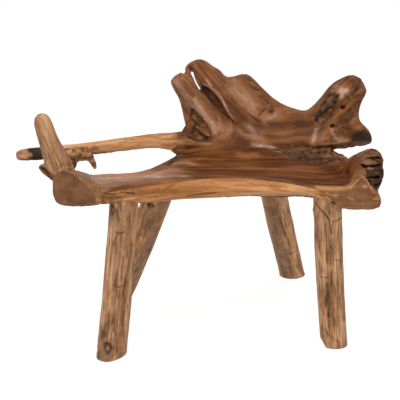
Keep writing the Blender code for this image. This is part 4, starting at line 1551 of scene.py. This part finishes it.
@dataclass
class PoleLegs:
    """The four pole legs, grown from a geometry tree and then cracked by the weather.

    Attributes:
        rings: Points along a leg.
        sides: Points round a leg.
        spare: Length that is sawn off at the foot.
        let_in: How far a leg runs on into the seat.
        swell: Height of its large waves.
        cracks: Number of drying cracks.
        crack_length: Shortest and longest of them.
        crack_width: Narrowest and widest of them.
        crack_depth: Shallowest and deepest of them.
        screw_reach: How far from its shoulder a leg's own screws lie at most.
        boss: How far the wood swells round a screw.
        boss_width: How wide it swells there.
        pocket_radius: Radius of a screw's pocket.
        pocket_length: Length of a pocket, out from the screw's head.
        pocket_lead: How far a pocket runs on past the head.
        plans: The four legs.
    """

    rings: int = 210
    sides: int = 168
    spare: float = 0.03
    let_in: float = 0.012
    swell: float = 0.0042
    cracks: int = 56
    crack_length: tuple[float, float] = (0.02, 0.1)
    crack_width: tuple[float, float] = (0.0008, 0.0016)
    crack_depth: tuple[float, float] = (0.001, 0.003)
    screw_reach: float = 0.08
    boss: float = 0.0026
    boss_width: float = 0.014
    pocket_radius: float = 0.0056
    pocket_length: float = 0.022
    pocket_lead: float = 0.002
    plans: Sequence[LegPlan] = (
        LegPlan(
            "leg_front_left", (-0.1979, -0.2956, 0.0), (-0.1609, -0.2496, 0.402), 0.002, 0.0372, 0.035, 3,
            (
                Stroke(((-180, -292, 324), (-168, -294, 322), (-158, -292, 324)), 2, -1.8, hollow=0.6),
                Stroke(((-174, -293, 322), (-180, -293, 310), (-183, -294, 292)), 2, -1.8, hollow=0.6),
                Stroke(((-190, -272, 392), (-179, -284, 376), (-188, -279, 366)), 4, -1.6, torn=0.7),
                Stroke(((-188, -291, 300), (-193, -295, 260), (-199, -299, 215)), 3, -2, torn=0.7),
                Stroke(((-161, -300, 262), (-165, -304, 230), (-166, -307, 206)), 3, -1.6, torn=0.7),
                Stroke(((-193, -319, 112), (-203, -319, 90), (-211, -319, 68)), 9, -1.2, torn=0.6,
                       hollow=0.12),
                Stroke(((-188, -308, 194), (-174, -309, 189), (-161, -305, 192), (-152, -298, 200)), 1.8,
                       -1.6, hollow=0.6),
            ),
            (Knot((-206, -328, 34), 33, 2.4),),
            bevels=(((-0.207, 0.0, 0.0), (0.2, 0.0, -1.0)),),
        ),
        LegPlan(
            "leg_front_right", (0.3701, -0.2226, 0.0), (0.3361, -0.2376, 0.394), -0.003, 0.035, 0.0348, 11,
            (
                Stroke(((304, -250, 388), (323, -268, 366), (337, -271, 350), (342, -270, 330),
                       (346, -269, 312)), 2.6, -3.4, hollow=0.8),
                Stroke(((323, -268, 366), (330, -268, 325), (335, -267, 275), (337, -265, 236)), 2.2, -2.6,
                       hollow=0.6),
                Stroke(((340, -262, 178), (347, -261, 125), (348, -259, 92)), 3.6, -2, torn=0.8,
                       hollow=0.25),
                Stroke(((343, -270, 345), (355, -267, 343), (368, -254, 348)), 2, -1.8, hollow=0.6),
                Stroke(((343, -268, 283), (355, -266, 262), (353, -266, 244), (373, -255, 238)), 1.8, -1.4,
                       hollow=0.5),
                Stroke(((324, -253, 195), (340, -263, 196), (354, -265, 193)), 1.8, -1.4, hollow=0.5),
                Stroke(((340, -250, 52), (354, -257, 36), (375, -257, 20)), 3, -2.2, hollow=0.4),
                Stroke(((302, -236, 370), (314, -225, 220), (336, -214, 30)), 12, -1.2, torn=0.6),
            ),
            bevels=(((0.347, 0.0, 0.0), (-1.5, 0.0, -1.0)),),
        ),
        LegPlan(
            "leg_rear_left", (-0.2159, 0.1154, 0.0), (-0.0749, -0.0766, 0.386), 0.004, 0.0378, 0.037, 17,
            (
                Stroke(((-108, -70, 292), (-117, -56, 266)), 14, -2.2, torn=0.55),
                Stroke(((-100, -80, 312), (-110, -66, 286), (-120, -52, 258), (-130, -36, 232)), 6, -1,
                       torn=0.5),
                Stroke(((-75, -80, 340), (-96, -50, 280), (-118, -16, 220)), 4, -1.6, torn=0.7),
            ),
            (Knot((-110, -87, 336), 8.5, 3.4), Knot((-100, -90, 330), 5, 2.4)),
            {Mask.SAP: 1.0},
        ),
        LegPlan(
            "leg_rear_right", (0.3131, 0.2884, 0.0), (0.2161, 0.0754, 0.386), -0.002, 0.039, 0.0368, 29,
            (
                Stroke(((273, 190, 102), (285, 190, 100), (302, 195, 102), (315, 206, 105),
                       (320, 212, 109)), 2.6, -2, hollow=0.5),
                Stroke(((282, 194, 91), (291, 209, 65), (300, 223, 38), (309, 238, 12)), 5, -1.6,
                       torn=0.6),
                Stroke(((251, 93, 283), (256, 107, 256), (260, 131, 209), (268, 149, 176)), 4, -1.2,
                       torn=0.5),
                Stroke(((234, 111, 248), (239, 126, 220), (250, 133, 205)), 4, -1.2, torn=0.5),
                Stroke(((259, 133, 205), (274, 138, 205), (287, 147, 209)), 2.2, -1.2, hollow=0.3),
            ),
            (Knot((208, 86, 311), 6, 2.6), Knot((249, 81, 311), 5.5, 2.6)),
            # Painted light: the full pale tint and the weak stain lighten this leg where the seat shades
            # it; the golden tint gives its redder hue.
            {Mask.PALE: 1.0, Mask.SAP: 0.75},
            stain=0.12,
        ),
    )

    def tree(self) -> NodeTree:
        """The geometry tree of a pole.

        Returns:
            The tree.
        """
        inputs = (
            ("Foot", "Vector"), ("Bend", "Vector"), ("Head", "Vector"), ("Foot Radius", "Float"),
            ("Head Radius", "Float"), ("Rings", "Int"), ("Sides", "Int"), ("Swell", "Float"),
            ("Seed", "Float"), ("Wood", "Material"),
        )
        sketch, given = geometry_tree("pole", inputs)
        bend = sketch.add(
            "GeometryNodeCurveQuadraticBezier",
            {"Resolution": 48, "Start": given["Foot"], "Middle": given["Bend"], "End": given["Head"]},
        )
        path = sketch.add("GeometryNodeResampleCurve", {"Curve": bend.outputs[0], "Count": given["Rings"]})
        along = sketch.add("GeometryNodeSplineParameter").outputs
        path = sketch.add(
            "GeometryNodeStoreNamedAttribute",
            {"Geometry": path.outputs[0], "Name": "along", "Value": along["Length"]},
        )
        radius = sketch.add(
            "ShaderNodeMix", {0: along["Factor"], 2: given["Foot Radius"], 3: given["Head Radius"]}
        ).outputs[0]
        ring = sketch.add("GeometryNodeCurvePrimitiveCircle", {"Resolution": given["Sides"], "Radius": 1.0})
        around = sketch.add("GeometryNodeSplineParameter").outputs
        ring = sketch.add(
            "GeometryNodeStoreNamedAttribute",
            {"Geometry": ring.outputs[0], "Name": "around", "Value": around["Factor"]},
        )
        pole = sketch.add(
            "GeometryNodeCurveToMesh",
            {"Curve": path.outputs[0], "Profile Curve": ring.outputs[0], "Scale": radius,
             "Fill Caps": True},
        )
        place = sketch.add("GeometryNodeInputPosition").outputs[0]
        shift = sketch.add("ShaderNodeCombineXYZ", {0: given["Seed"], 1: given["Seed"]}).outputs[0]
        place = sketch.add("ShaderNodeVectorMath", {0: place, 1: shift}).outputs[0]
        wave = sketch.noise(place, (20.0, 20.0, 9.0), 2.0)
        lift = sketch.math("MULTIPLY", sketch.math("SUBTRACT", wave, 0.5), given["Swell"])
        normal = sketch.add("GeometryNodeInputNormal").outputs[0]
        wires = {0: normal, "Scale": lift}
        offset = sketch.add("ShaderNodeVectorMath", wires, operation="SCALE").outputs[0]
        pole = sketch.add("GeometryNodeSetPosition", {"Geometry": pole.outputs[0], "Offset": offset})
        pole = sketch.add("GeometryNodeRealizeInstances", {"Geometry": pole.outputs[0]})
        wires = {"Geometry": pole.outputs[0], "Material": given["Wood"]}
        pole = sketch.add("GeometryNodeSetMaterial", wires)
        sketch.add("NodeGroupOutput", {0: pole.outputs[0]})
        return sketch.tree

    def build(self, material: Material, screws: LegScrews) -> None:
        """Builds the legs.

        Args:
            material: Finish of the wood.
            screws: The screws, which sit in pockets of the legs.
        """
        tree = self.tree()
        for plan in self.plans:
            foot, head = Vector(plan.foot), Vector(plan.head)
            middle = (foot + head) / 2 + Vector((plan.bow, 0.0, 0.0))
            foot += (foot - middle).normalized() * self.spare
            head += (head - middle).normalized() * self.let_in
            values = {
                "Foot": foot,
                "Bend": 2 * middle - (foot + head) / 2,
                "Head": head,
                "Foot Radius": plan.foot_radius,
                "Head Radius": plan.head_radius,
                "Rings": self.rings,
                "Sides": self.sides,
                "Swell": self.swell,
                "Seed": float(plan.seed),
                "Wood": material,
            }
            blank = new_object(plan.node.replace("leg", "pole_leg"), bmesh.new())
            leg = grown(blank, tree, values)
            self.saw_foot(leg, plan.bevels)
            work = Carving(leg)
            self.weather(work, plan)
            shoulder = Vector(plan.head)
            own = [screw for screw in screws.places if (screw[0] - shoulder).length < self.screw_reach]
            for place, _ in own:
                away = np.linalg.norm(work.points - np.array(place), axis=1)
                work.push(self.boss * np.exp(-((away / self.boss_width) ** 2)))
            work.store()
            kept = duplicate(leg, "leg_before_pockets")
            reach = (self.pocket_radius * PER_METRE, self.pocket_radius * PER_METRE)
            for place, axis in own:
                ends = (place + axis * self.pocket_lead, place - axis * self.pocket_length)
                line = [tuple(value * PER_METRE for value in end) for end in ends]
                carve(leg, [Loft(line, reach, reach, tuple(axis.orthogonal()))])
            mend_masks(leg, kept)
            bpy.data.objects.remove(kept)
            dress(leg, material, Slot.WEATHERED, plan.node)

    @staticmethod
    def saw_foot(leg: Object, bevels: Sequence[tuple[Place, Place]]) -> None:
        """Saws a leg off level with the floor, and bevels its foot.

        Args:
            leg: The leg.
            bevels: Its slanting cuts.
        """
        shape = bmesh.new()
        shape.from_mesh(leg.data)
        for place, way in (((0.0, 0.0, 0.0), (0.0, 0.0, -1.0)), *bevels):
            everything = [*shape.verts, *shape.edges, *shape.faces]
            cut = bmesh.ops.bisect_plane(
                shape, geom=everything, plane_co=place, plane_no=Vector(way).normalized(), clear_outer=True
            )
            rim = [part for part in cut["geom_cut"] if isinstance(part, BMEdge)]
            bmesh.ops.triangle_fill(shape, use_beauty=True, edges=rim)
        bmesh.ops.triangulate(shape, faces=[face for face in shape.faces if len(face.verts) > 4])
        bmesh.ops.recalc_face_normals(shape, faces=shape.faces)
        shape.to_mesh(leg.data)
        shape.free()

    def weather(self, work: Carving, plan: LegPlan) -> None:
        """Cracks, flutes and stains a leg.

        Args:
            work: The carving.
            plan: The leg's plan.
        """
        mesh = work.obj.data
        along = np.empty(work.count, np.float32)
        around = np.empty(work.count, np.float32)
        mesh.attributes["along"].data.foreach_get("value", along)
        mesh.attributes["around"].data.foreach_get("value", around)
        turn = 2 * math.pi * around
        radius = plan.foot_radius
        work.flow = np.column_stack([along + plan.seed, radius * np.cos(turn), radius * np.sin(turn)])
        off_floor = smooth(0.0, 0.004, work.points[:, 2])
        level = smooth(0.6, 0.3, np.abs(work.normals[:, 2]))
        flutes = 0.0016 * fractal(work.flow, (3.0, 45.0, 45.0), 3, 0.5)
        fibres = -0.0007 * (1.0 - ridged(work.flow, (9.0, 150.0, 150.0), 2, 4.0))
        chance = np.random.default_rng(plan.seed)
        lift = flutes + fibres
        for _ in range(self.cracks):
            middle, start = chance.uniform(0, 2 * math.pi), chance.uniform(0, 0.4)
            length = chance.uniform(*self.crack_length)
            width, depth = chance.uniform(*self.crack_width), chance.uniform(*self.crack_depth)
            swing, phase = chance.uniform(18, 40), chance.uniform(0, 6)
            away = turn - middle - 0.07 * np.sin(along * swing + phase)
            away = np.abs((away + math.pi) % (2 * math.pi) - math.pi) * radius
            taper = 0.4 * length
            ends = smooth(start, start + taper, along)
            ends *= smooth(start + length, start + length - taper, along)
            share = np.exp(-((away / width) ** 2)) * ends
            lift -= depth * share
            # Painted shade in the crack.
            work.paint(Mask.HOLLOW, 0.8 * share * level)
        for knot in plan.knots:
            away, _ = line_distance(work.points, (knot.at,))
            reach = knot.radius / PER_METRE
            away *= 1.0 + 0.55 * fractal(work.points, 45.0, 2, 2.2)
            near = np.exp(-((away / reach) ** 2))
            wave = np.cos(away / reach * 2 * math.pi * 1.6)
            lift += knot.depth / PER_METRE * near * (wave - 0.6)
            work.paint(Mask.TORN, 0.8 * smooth(0.35, 0.8, near))
            # Painted shade in the rings' grooves.
            work.paint(Mask.HOLLOW, 0.75 * near * smooth(0.1, -0.8, wave))
        work.push(lift * level * off_floor)
        work.stroke(plan.strokes, front_only=False)
        stain = fractal(work.flow, (9.0, 38.0, 38.0), 4, 9.0)
        work.paint(Mask.TORN, plan.stain * smooth(0.12, 0.5, stain) * level)
        work.paint(Mask.PALE, 0.6 * smooth(0.0, 0.5, -stain))
        for mask, strength in plan.tint.items():
            work.paint(mask, strength * smooth(0.45, 0.0, stain))
        work.paint(Mask.SAWN, 1.0 - level)
        work.points[:, 2] = np.where(work.points[:, 2] < 0.0005, 0.0, work.points[:, 2])


def grown(obj: Object, tree: NodeTree, values: dict[str, Any]) -> Object:
    """Runs a geometry tree on an object and keeps the plain mesh.

    Args:
        obj: The object whose mesh the tree starts from.
        tree: The tree.
        values: A value for each of its inputs.

    Returns:
        The same object.
    """
    step = obj.modifiers.new(tree.name, "NODES")
    step.node_group = tree
    for item in tree.interface.items_tree:
        if item.in_out == "INPUT" and item.name in values:
            step[item.identifier] = values[item.name]
    return apply_modifiers(obj)


@dataclass
class LegScrews:
    """The screws that lock the legs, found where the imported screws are.

    Attributes:
        frame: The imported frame.
        head_radius: Radius of a head.
        length: Length of a screw.
        shank_radius: Radius of the shank.
        head_depth: Depth of the countersunk part.
        head_rim: How far the head's edge lies below its middle.
        head_flat: Share of the head that is nearly flat.
        head_dome: How far the edge of that share lies below the head's middle.
        tip: Length of the pointed end.
        steps: Points round a screw.
        slot_half: Half the width of the cross recess.
        slot_reach: Share of the head that the recess takes.
        slot_depth: Depth of the recess.
        places: Head and direction of each screw.
    """

    frame: dict[str, Any]
    head_radius: float = 0.0045
    length: float = 0.05
    shank_radius: float = 0.0022
    head_depth: float = 0.0035
    head_rim: float = 0.0006
    head_flat: float = 0.8
    head_dome: float = 0.0002
    tip: float = 0.008
    steps: int = 20
    slot_half: float = 0.0007
    slot_reach: float = 0.62
    slot_depth: float = 0.0018
    places: list[tuple[Vector, Vector]] = field(default_factory=list)

    def __post_init__(self) -> None:
        """Finds the head and the direction of each packed screw."""
        for name in self.names():
            points = np.array([vertex.co for vertex in self.frame["nodes"][name].data.vertices])
            middle = points.mean(axis=0)
            axis = np.linalg.svd(points - middle, full_matrices=False)[2][0]
            along = (points - middle) @ axis
            round_axis = np.linalg.norm(points - middle - along[:, None] * axis, axis=1)
            if along[round_axis.argmax()] > 0:
                axis, along = -axis, -along
            self.places.append((Vector(middle + axis * along.min()), Vector(axis)))

    def names(self) -> list[str]:
        """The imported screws."""
        return sorted(name for name in self.frame["nodes"] if name.startswith("leg_screw"))

    def one_screw(self) -> Object:
        """A countersunk screw with a cross recess, its tip along +Z.

        Returns:
            A mesh object.
        """
        profile = (
            (0.0, 0.0),
            (self.head_radius * self.head_flat, self.head_dome),
            (self.head_radius, self.head_rim),
            (self.shank_radius, self.head_depth + self.head_rim),
            (self.shank_radius, self.length - self.tip),
            (0.0, self.length),
        )
        shape = bmesh.new()
        rows = []
        for radius, height in profile:
            count = 1 if radius == 0.0 else self.steps
            turns = [2 * math.pi * step / self.steps for step in range(count)]
            places = [(radius * math.cos(turn), radius * math.sin(turn), height) for turn in turns]
            rows.append([shape.verts.new(place) for place in places])
        for near, far in zip(rows, rows[1:]):
            for step in range(self.steps):
                turn = (step, step + 1)
                ring = [near[index % len(near)] for index in turn]
                ring += [far[index % len(far)] for index in reversed(turn)]
                shape.faces.new(list(dict.fromkeys(ring)))
        bmesh.ops.recalc_face_normals(shape, faces=shape.faces)
        made = new_object("one_screw", shape)
        reach = self.head_radius * self.slot_reach
        for x, y in ((reach, self.slot_half), (self.slot_half, reach)):
            slot = block("recess", (-x, -y, -0.001), (x, y, self.slot_depth))
            combined(made, slot, "DIFFERENCE")
            bpy.data.objects.remove(slot)
        return made

    def tree(self) -> NodeTree:
        """The geometry tree that sets a screw on each point, along the point's axis.

        Returns:
            The tree.
        """
        inputs = (("Points", "Geometry"), ("Screw", "Object"), ("Metal", "Material"))
        sketch, given = geometry_tree("screws", inputs)
        source = sketch.add("GeometryNodeObjectInfo", {"Object": given["Screw"]}).outputs["Geometry"]
        named = sketch.add("GeometryNodeInputNamedAttribute", {"Name": "axis"}, data_type="FLOAT_VECTOR")
        axis = named.outputs[0]
        turn = sketch.add("FunctionNodeAlignRotationToVector", {"Vector": axis}, axis="Z").outputs[0]
        wires = {"Points": given["Points"], "Instance": source, "Rotation": turn}
        set_on = sketch.add("GeometryNodeInstanceOnPoints", wires).outputs[0]
        plain = sketch.add("GeometryNodeRealizeInstances", {"Geometry": set_on}).outputs[0]
        wires = {"Geometry": plain, "Material": given["Metal"]}
        dressed = sketch.add("GeometryNodeSetMaterial", wires).outputs[0]
        sketch.add("NodeGroupOutput", {0: dressed})
        return sketch.tree

    def build(self, material: Material) -> None:
        """Sets all the screws.

        Args:
            material: Finish of the metal.
        """
        shape = bmesh.new()
        for place, _ in self.places:
            shape.verts.new(place)
        made = new_object("leg_screws", shape)
        layer = made.data.attributes.new("axis", "FLOAT_VECTOR", "POINT")
        layer.data.foreach_set("vector", np.array([axis for _, axis in self.places], np.float32).ravel())
        source = self.one_screw()
        grown(made, self.tree(), {"Screw": source, "Metal": material})
        bpy.data.objects.remove(source)
        dress(made, material, Slot.ZINC, *self.names())


@dataclass
class ArmPost:
    """The flat post that stands on the left end of the seat.

    Attributes:
        voxel: Size of its faces.
        foot: Where its middle line starts.
        top: Where its middle line ends.
        streaks: Scratches and stains of its front, with painted shade in the scratches.
    """

    voxel: float = 0.0015
    foot: Place = (-0.318, -0.1896, 0.44)
    top: Place = (-0.368, -0.1896, 0.59)
    streaks: Sequence[Stroke] = (
        Stroke(((-374, -204, 582), (-366, -204, 540), (-350, -204, 482)), 1.2, -0.8, hollow=0.35),
        Stroke(((-364, -204, 594), (-346, -204, 540), (-325, -204, 482)), 1.2, -0.6, hollow=0.22),
        Stroke(((-352, -204, 591), (-326, -204, 528), (-301, -204, 475)), 1.2, -0.6, hollow=0.22),
        Stroke(((-326, -204, 457), (-313, -204, 470), (-296, -204, 467)), 4, -2, torn=0.16),
        Stroke(((-376, -199, 470), (-362, -204, 456), (-342, -204, 436)), 7.5, -2, torn=0.85),
        Stroke(((-372, -199, 468), (-362, -204, 458)), 3, -3, hollow=0.9),
        Stroke(((-356, -204, 456), (-350, -204, 447)), 2.6, -2.6, hollow=0.8),
    )

    def build(self, frame: dict[str, Any], material: Material) -> None:
        """Carves the post.

        Args:
            frame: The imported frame.
            material: Finish of the wood.
        """
        post = melted(copy_of(frame["nodes"]["arm_post"], "carved_post"), self.voxel)
        work = Carving(post)
        work.relax(25)
        axis = (Vector(self.top) - Vector(self.foot)).normalized()
        across = Vector((axis.z, 0.0, -axis.x))
        away = work.points - np.array(self.foot)
        work.flow = np.column_stack([away @ np.array(axis), away @ np.array(across), away[:, 1]])
        lift = 0.0006 * fractal(work.flow, (6.0, 40.0, 40.0), 3, 6.0)
        lift -= 0.0006 * (1.0 - ridged(work.flow, (9.0, 160.0, 160.0), 2, 4.0))
        work.push(lift)
        work.stroke(self.streaks)
        stain = fractal(work.flow, (4.0, 46.0, 46.0), 3, 2.0)
        work.paint(Mask.TORN, 0.22 * smooth(0.2, 0.6, stain))
        work.paint(Mask.PALE, 0.6 * smooth(0.0, 0.5, -stain))
        # Painted shade in the post's hollows.
        work.paint(Mask.HOLLOW, 0.7 * smooth(0.0012, 0.004, work.hollowness(20)))
        work.store()
        dress(post, material, Slot.WEATHERED, "arm_post")


@dataclass(frozen=True)
class PlainFinish:
    """A finish of two tones, for the screws and the dowels.

    Attributes:
        name: Name of the material.
        dark: Its dark tone.
        light: Its light tone.
        scale: How often its spots repeat per metre along each axis.
        light_from: Where on the noise's scale its light tone begins.
        rough: Its least roughness, and how much the spots add.
        metallic: How metallic it is.
    """

    name: str
    dark: Colour
    light: Colour
    scale: Place
    light_from: float
    rough: tuple[float, float]
    metallic: float = 0.0

    def material(self) -> Material:
        """Builds the material.

        Returns:
            The material.
        """
        made, sketch, shader = new_material(self.name)
        place = sketch.add("ShaderNodeTexCoord").outputs["Object"]
        spots = sketch.noise(place, self.scale, 3.0)
        colour = sketch.ramp(spots, ((0.35, self.dark), (self.light_from, self.light)))
        sketch.link(colour, shader, "Base Color")
        least, more = self.rough
        sketch.link(sketch.math("MULTIPLY_ADD", spots, more, least), shader, "Roughness")
        shader.inputs["Metallic"].default_value = self.metallic
        return made


ZINC = PlainFinish(
    "dull_zinc", (0.38, 0.35, 0.31), (0.6, 0.57, 0.53), (700.0, 700.0, 700.0), 0.65, (0.25, 0.35), 1.0
)
BEECH = PlainFinish(
    "pale_beech", (0.42, 0.28, 0.16), (0.62, 0.46, 0.3), (420.0, 120.0, 120.0), 0.6, (0.5, 0.2)
)


@dataclass
class Studio:
    """Floor, light and camera.

    Attributes:
        camera_at: Place of the camera.
        camera_pitch: How far it looks down.
        lens: Its focal length in millimetres.
        floor_half: Half the side of the floor.
        sky: Strength of the world's light.
        glow: Strength of the floor's own light.
        glow_unseen: Share of that light where the floor only lights the bench.
        glow_seen: How much larger that share is where the floor itself is seen.
        lamps: Name, place, aim, size and power of each lamp.
    """

    camera_at: Place = (0.02413, -2.3596, 0.99)
    camera_pitch: float = math.radians(15.8)
    lens: float = 81.0
    floor_half: float = 6.0
    sky: float = 0.7
    glow: float = 1.1
    glow_unseen: float = 0.4
    glow_seen: float = 0.42
    lamps: Sequence[tuple[str, Place, Place, float, float]] = (
        ("key", (-1.6, -2.2, 2.6), (0.0, 0.0, 0.4), 2.0, 48.0),
        ("fill", (1.7, -2.4, 1.1), (0.0, 0.0, 0.3), 1.8, 17.0),
        ("top", (0.1, -0.3, 2.7), (0.0, 0.0, 0.45), 1.6, 20.0),
    )

    def build(self) -> None:
        """Sets the scene up."""
        self.camera()
        self.world()
        self.floor()
        for name, place, aim, size, power in self.lamps:
            light = bpy.data.lights.new(name, "AREA")
            light.size = size
            light.energy = power
            lamp = bpy.data.objects.new(name, light)
            lamp.location = place
            lamp.rotation_euler = (Vector(aim) - Vector(place)).to_track_quat("-Z", "Y").to_euler()
            bpy.context.scene.collection.objects.link(lamp)
        bpy.context.scene.view_settings.view_transform = "Standard"

    def camera(self) -> None:
        """Puts the camera where the photograph was taken from."""
        data = bpy.data.cameras.new("camera")
        data.sensor_width = 36.0
        data.lens = self.lens
        made = bpy.data.objects.new("camera", data)
        made.location = self.camera_at
        made.rotation_euler = (math.radians(90) - self.camera_pitch, 0.0, 0.0)
        bpy.context.scene.collection.objects.link(made)
        bpy.context.scene.camera = made

    @staticmethod
    def seen(sketch: Sketch) -> NodeSocket:
        """Whether a ray shows the background itself.

        Args:
            sketch: Sketch of the tree that asks.

        Returns:
            The answer's socket.
        """
        path = sketch.add("ShaderNodeLightPath").outputs
        seen = sketch.math("MAXIMUM", path["Is Camera Ray"], path["Is Glossy Ray"])
        return sketch.math("MAXIMUM", seen, path["Is Transmission Ray"])

    def world(self) -> None:
        """A white world that lights softly."""
        world = bpy.data.worlds.new("studio")
        bpy.context.scene.world = world
        world.use_nodes = True
        sketch = Sketch(world.node_tree)
        strength = sketch.math("MULTIPLY_ADD", self.seen(sketch), 1.0 - self.sky, self.sky)
        background = world.node_tree.nodes["Background"]
        background.inputs["Color"].default_value = (1.0, 1.0, 1.0, 1.0)
        sketch.link(strength, background, "Strength")

    def floor(self) -> None:
        """A plain white floor that keeps the bench's shadow."""
        shape = bmesh.new()
        bmesh.ops.create_grid(shape, x_segments=1, y_segments=1, size=self.floor_half)
        made = new_object("floor", shape)
        material, sketch, shader = new_material("white_floor")
        shader.inputs["Base Color"].default_value = (0.9, 0.9, 0.9, 1.0)
        shader.inputs["Roughness"].default_value = 0.9
        shader.inputs["Specular IOR Level"].default_value = 0.0
        glow = sketch.add("ShaderNodeEmission", {"Color": (1.0, 1.0, 1.0, 1.0), "Strength": self.glow})
        share = sketch.math("MULTIPLY_ADD", self.seen(sketch), self.glow_seen, self.glow_unseen)
        both = sketch.add("ShaderNodeMixShader", {0: share, 1: shader.outputs[0], 2: glow.outputs[0]})
        sketch.link(both.outputs[0], material.node_tree.nodes["Material Output"], "Surface")
        made.data.materials.append(material)


def main() -> None:
    """Builds the bench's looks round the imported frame."""
    logging.basicConfig(level=logging.INFO, format="%(name)s: %(message)s")
    for obj in list(bpy.data.objects):
        bpy.data.objects.remove(obj)
    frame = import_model()
    grain = Grain()
    polished = POLISHED.material(grain)
    tan = TAN.material(grain)
    CarvedRoot().build(frame, polished, RAIL.material(grain))
    screws = LegScrews(frame)
    PoleLegs().build(tan, screws)
    ArmPost().build(frame, tan)
    screws.build(ZINC.material())
    beech = BEECH.material()
    for name, node in frame["nodes"].items():
        if name.startswith("back_dowel"):
            node.data.materials.clear()
            node.data.materials.append(beech)
            log.info("%s: kept as packed", name)
    Studio().build()


if __name__ == "__main__":
    main()
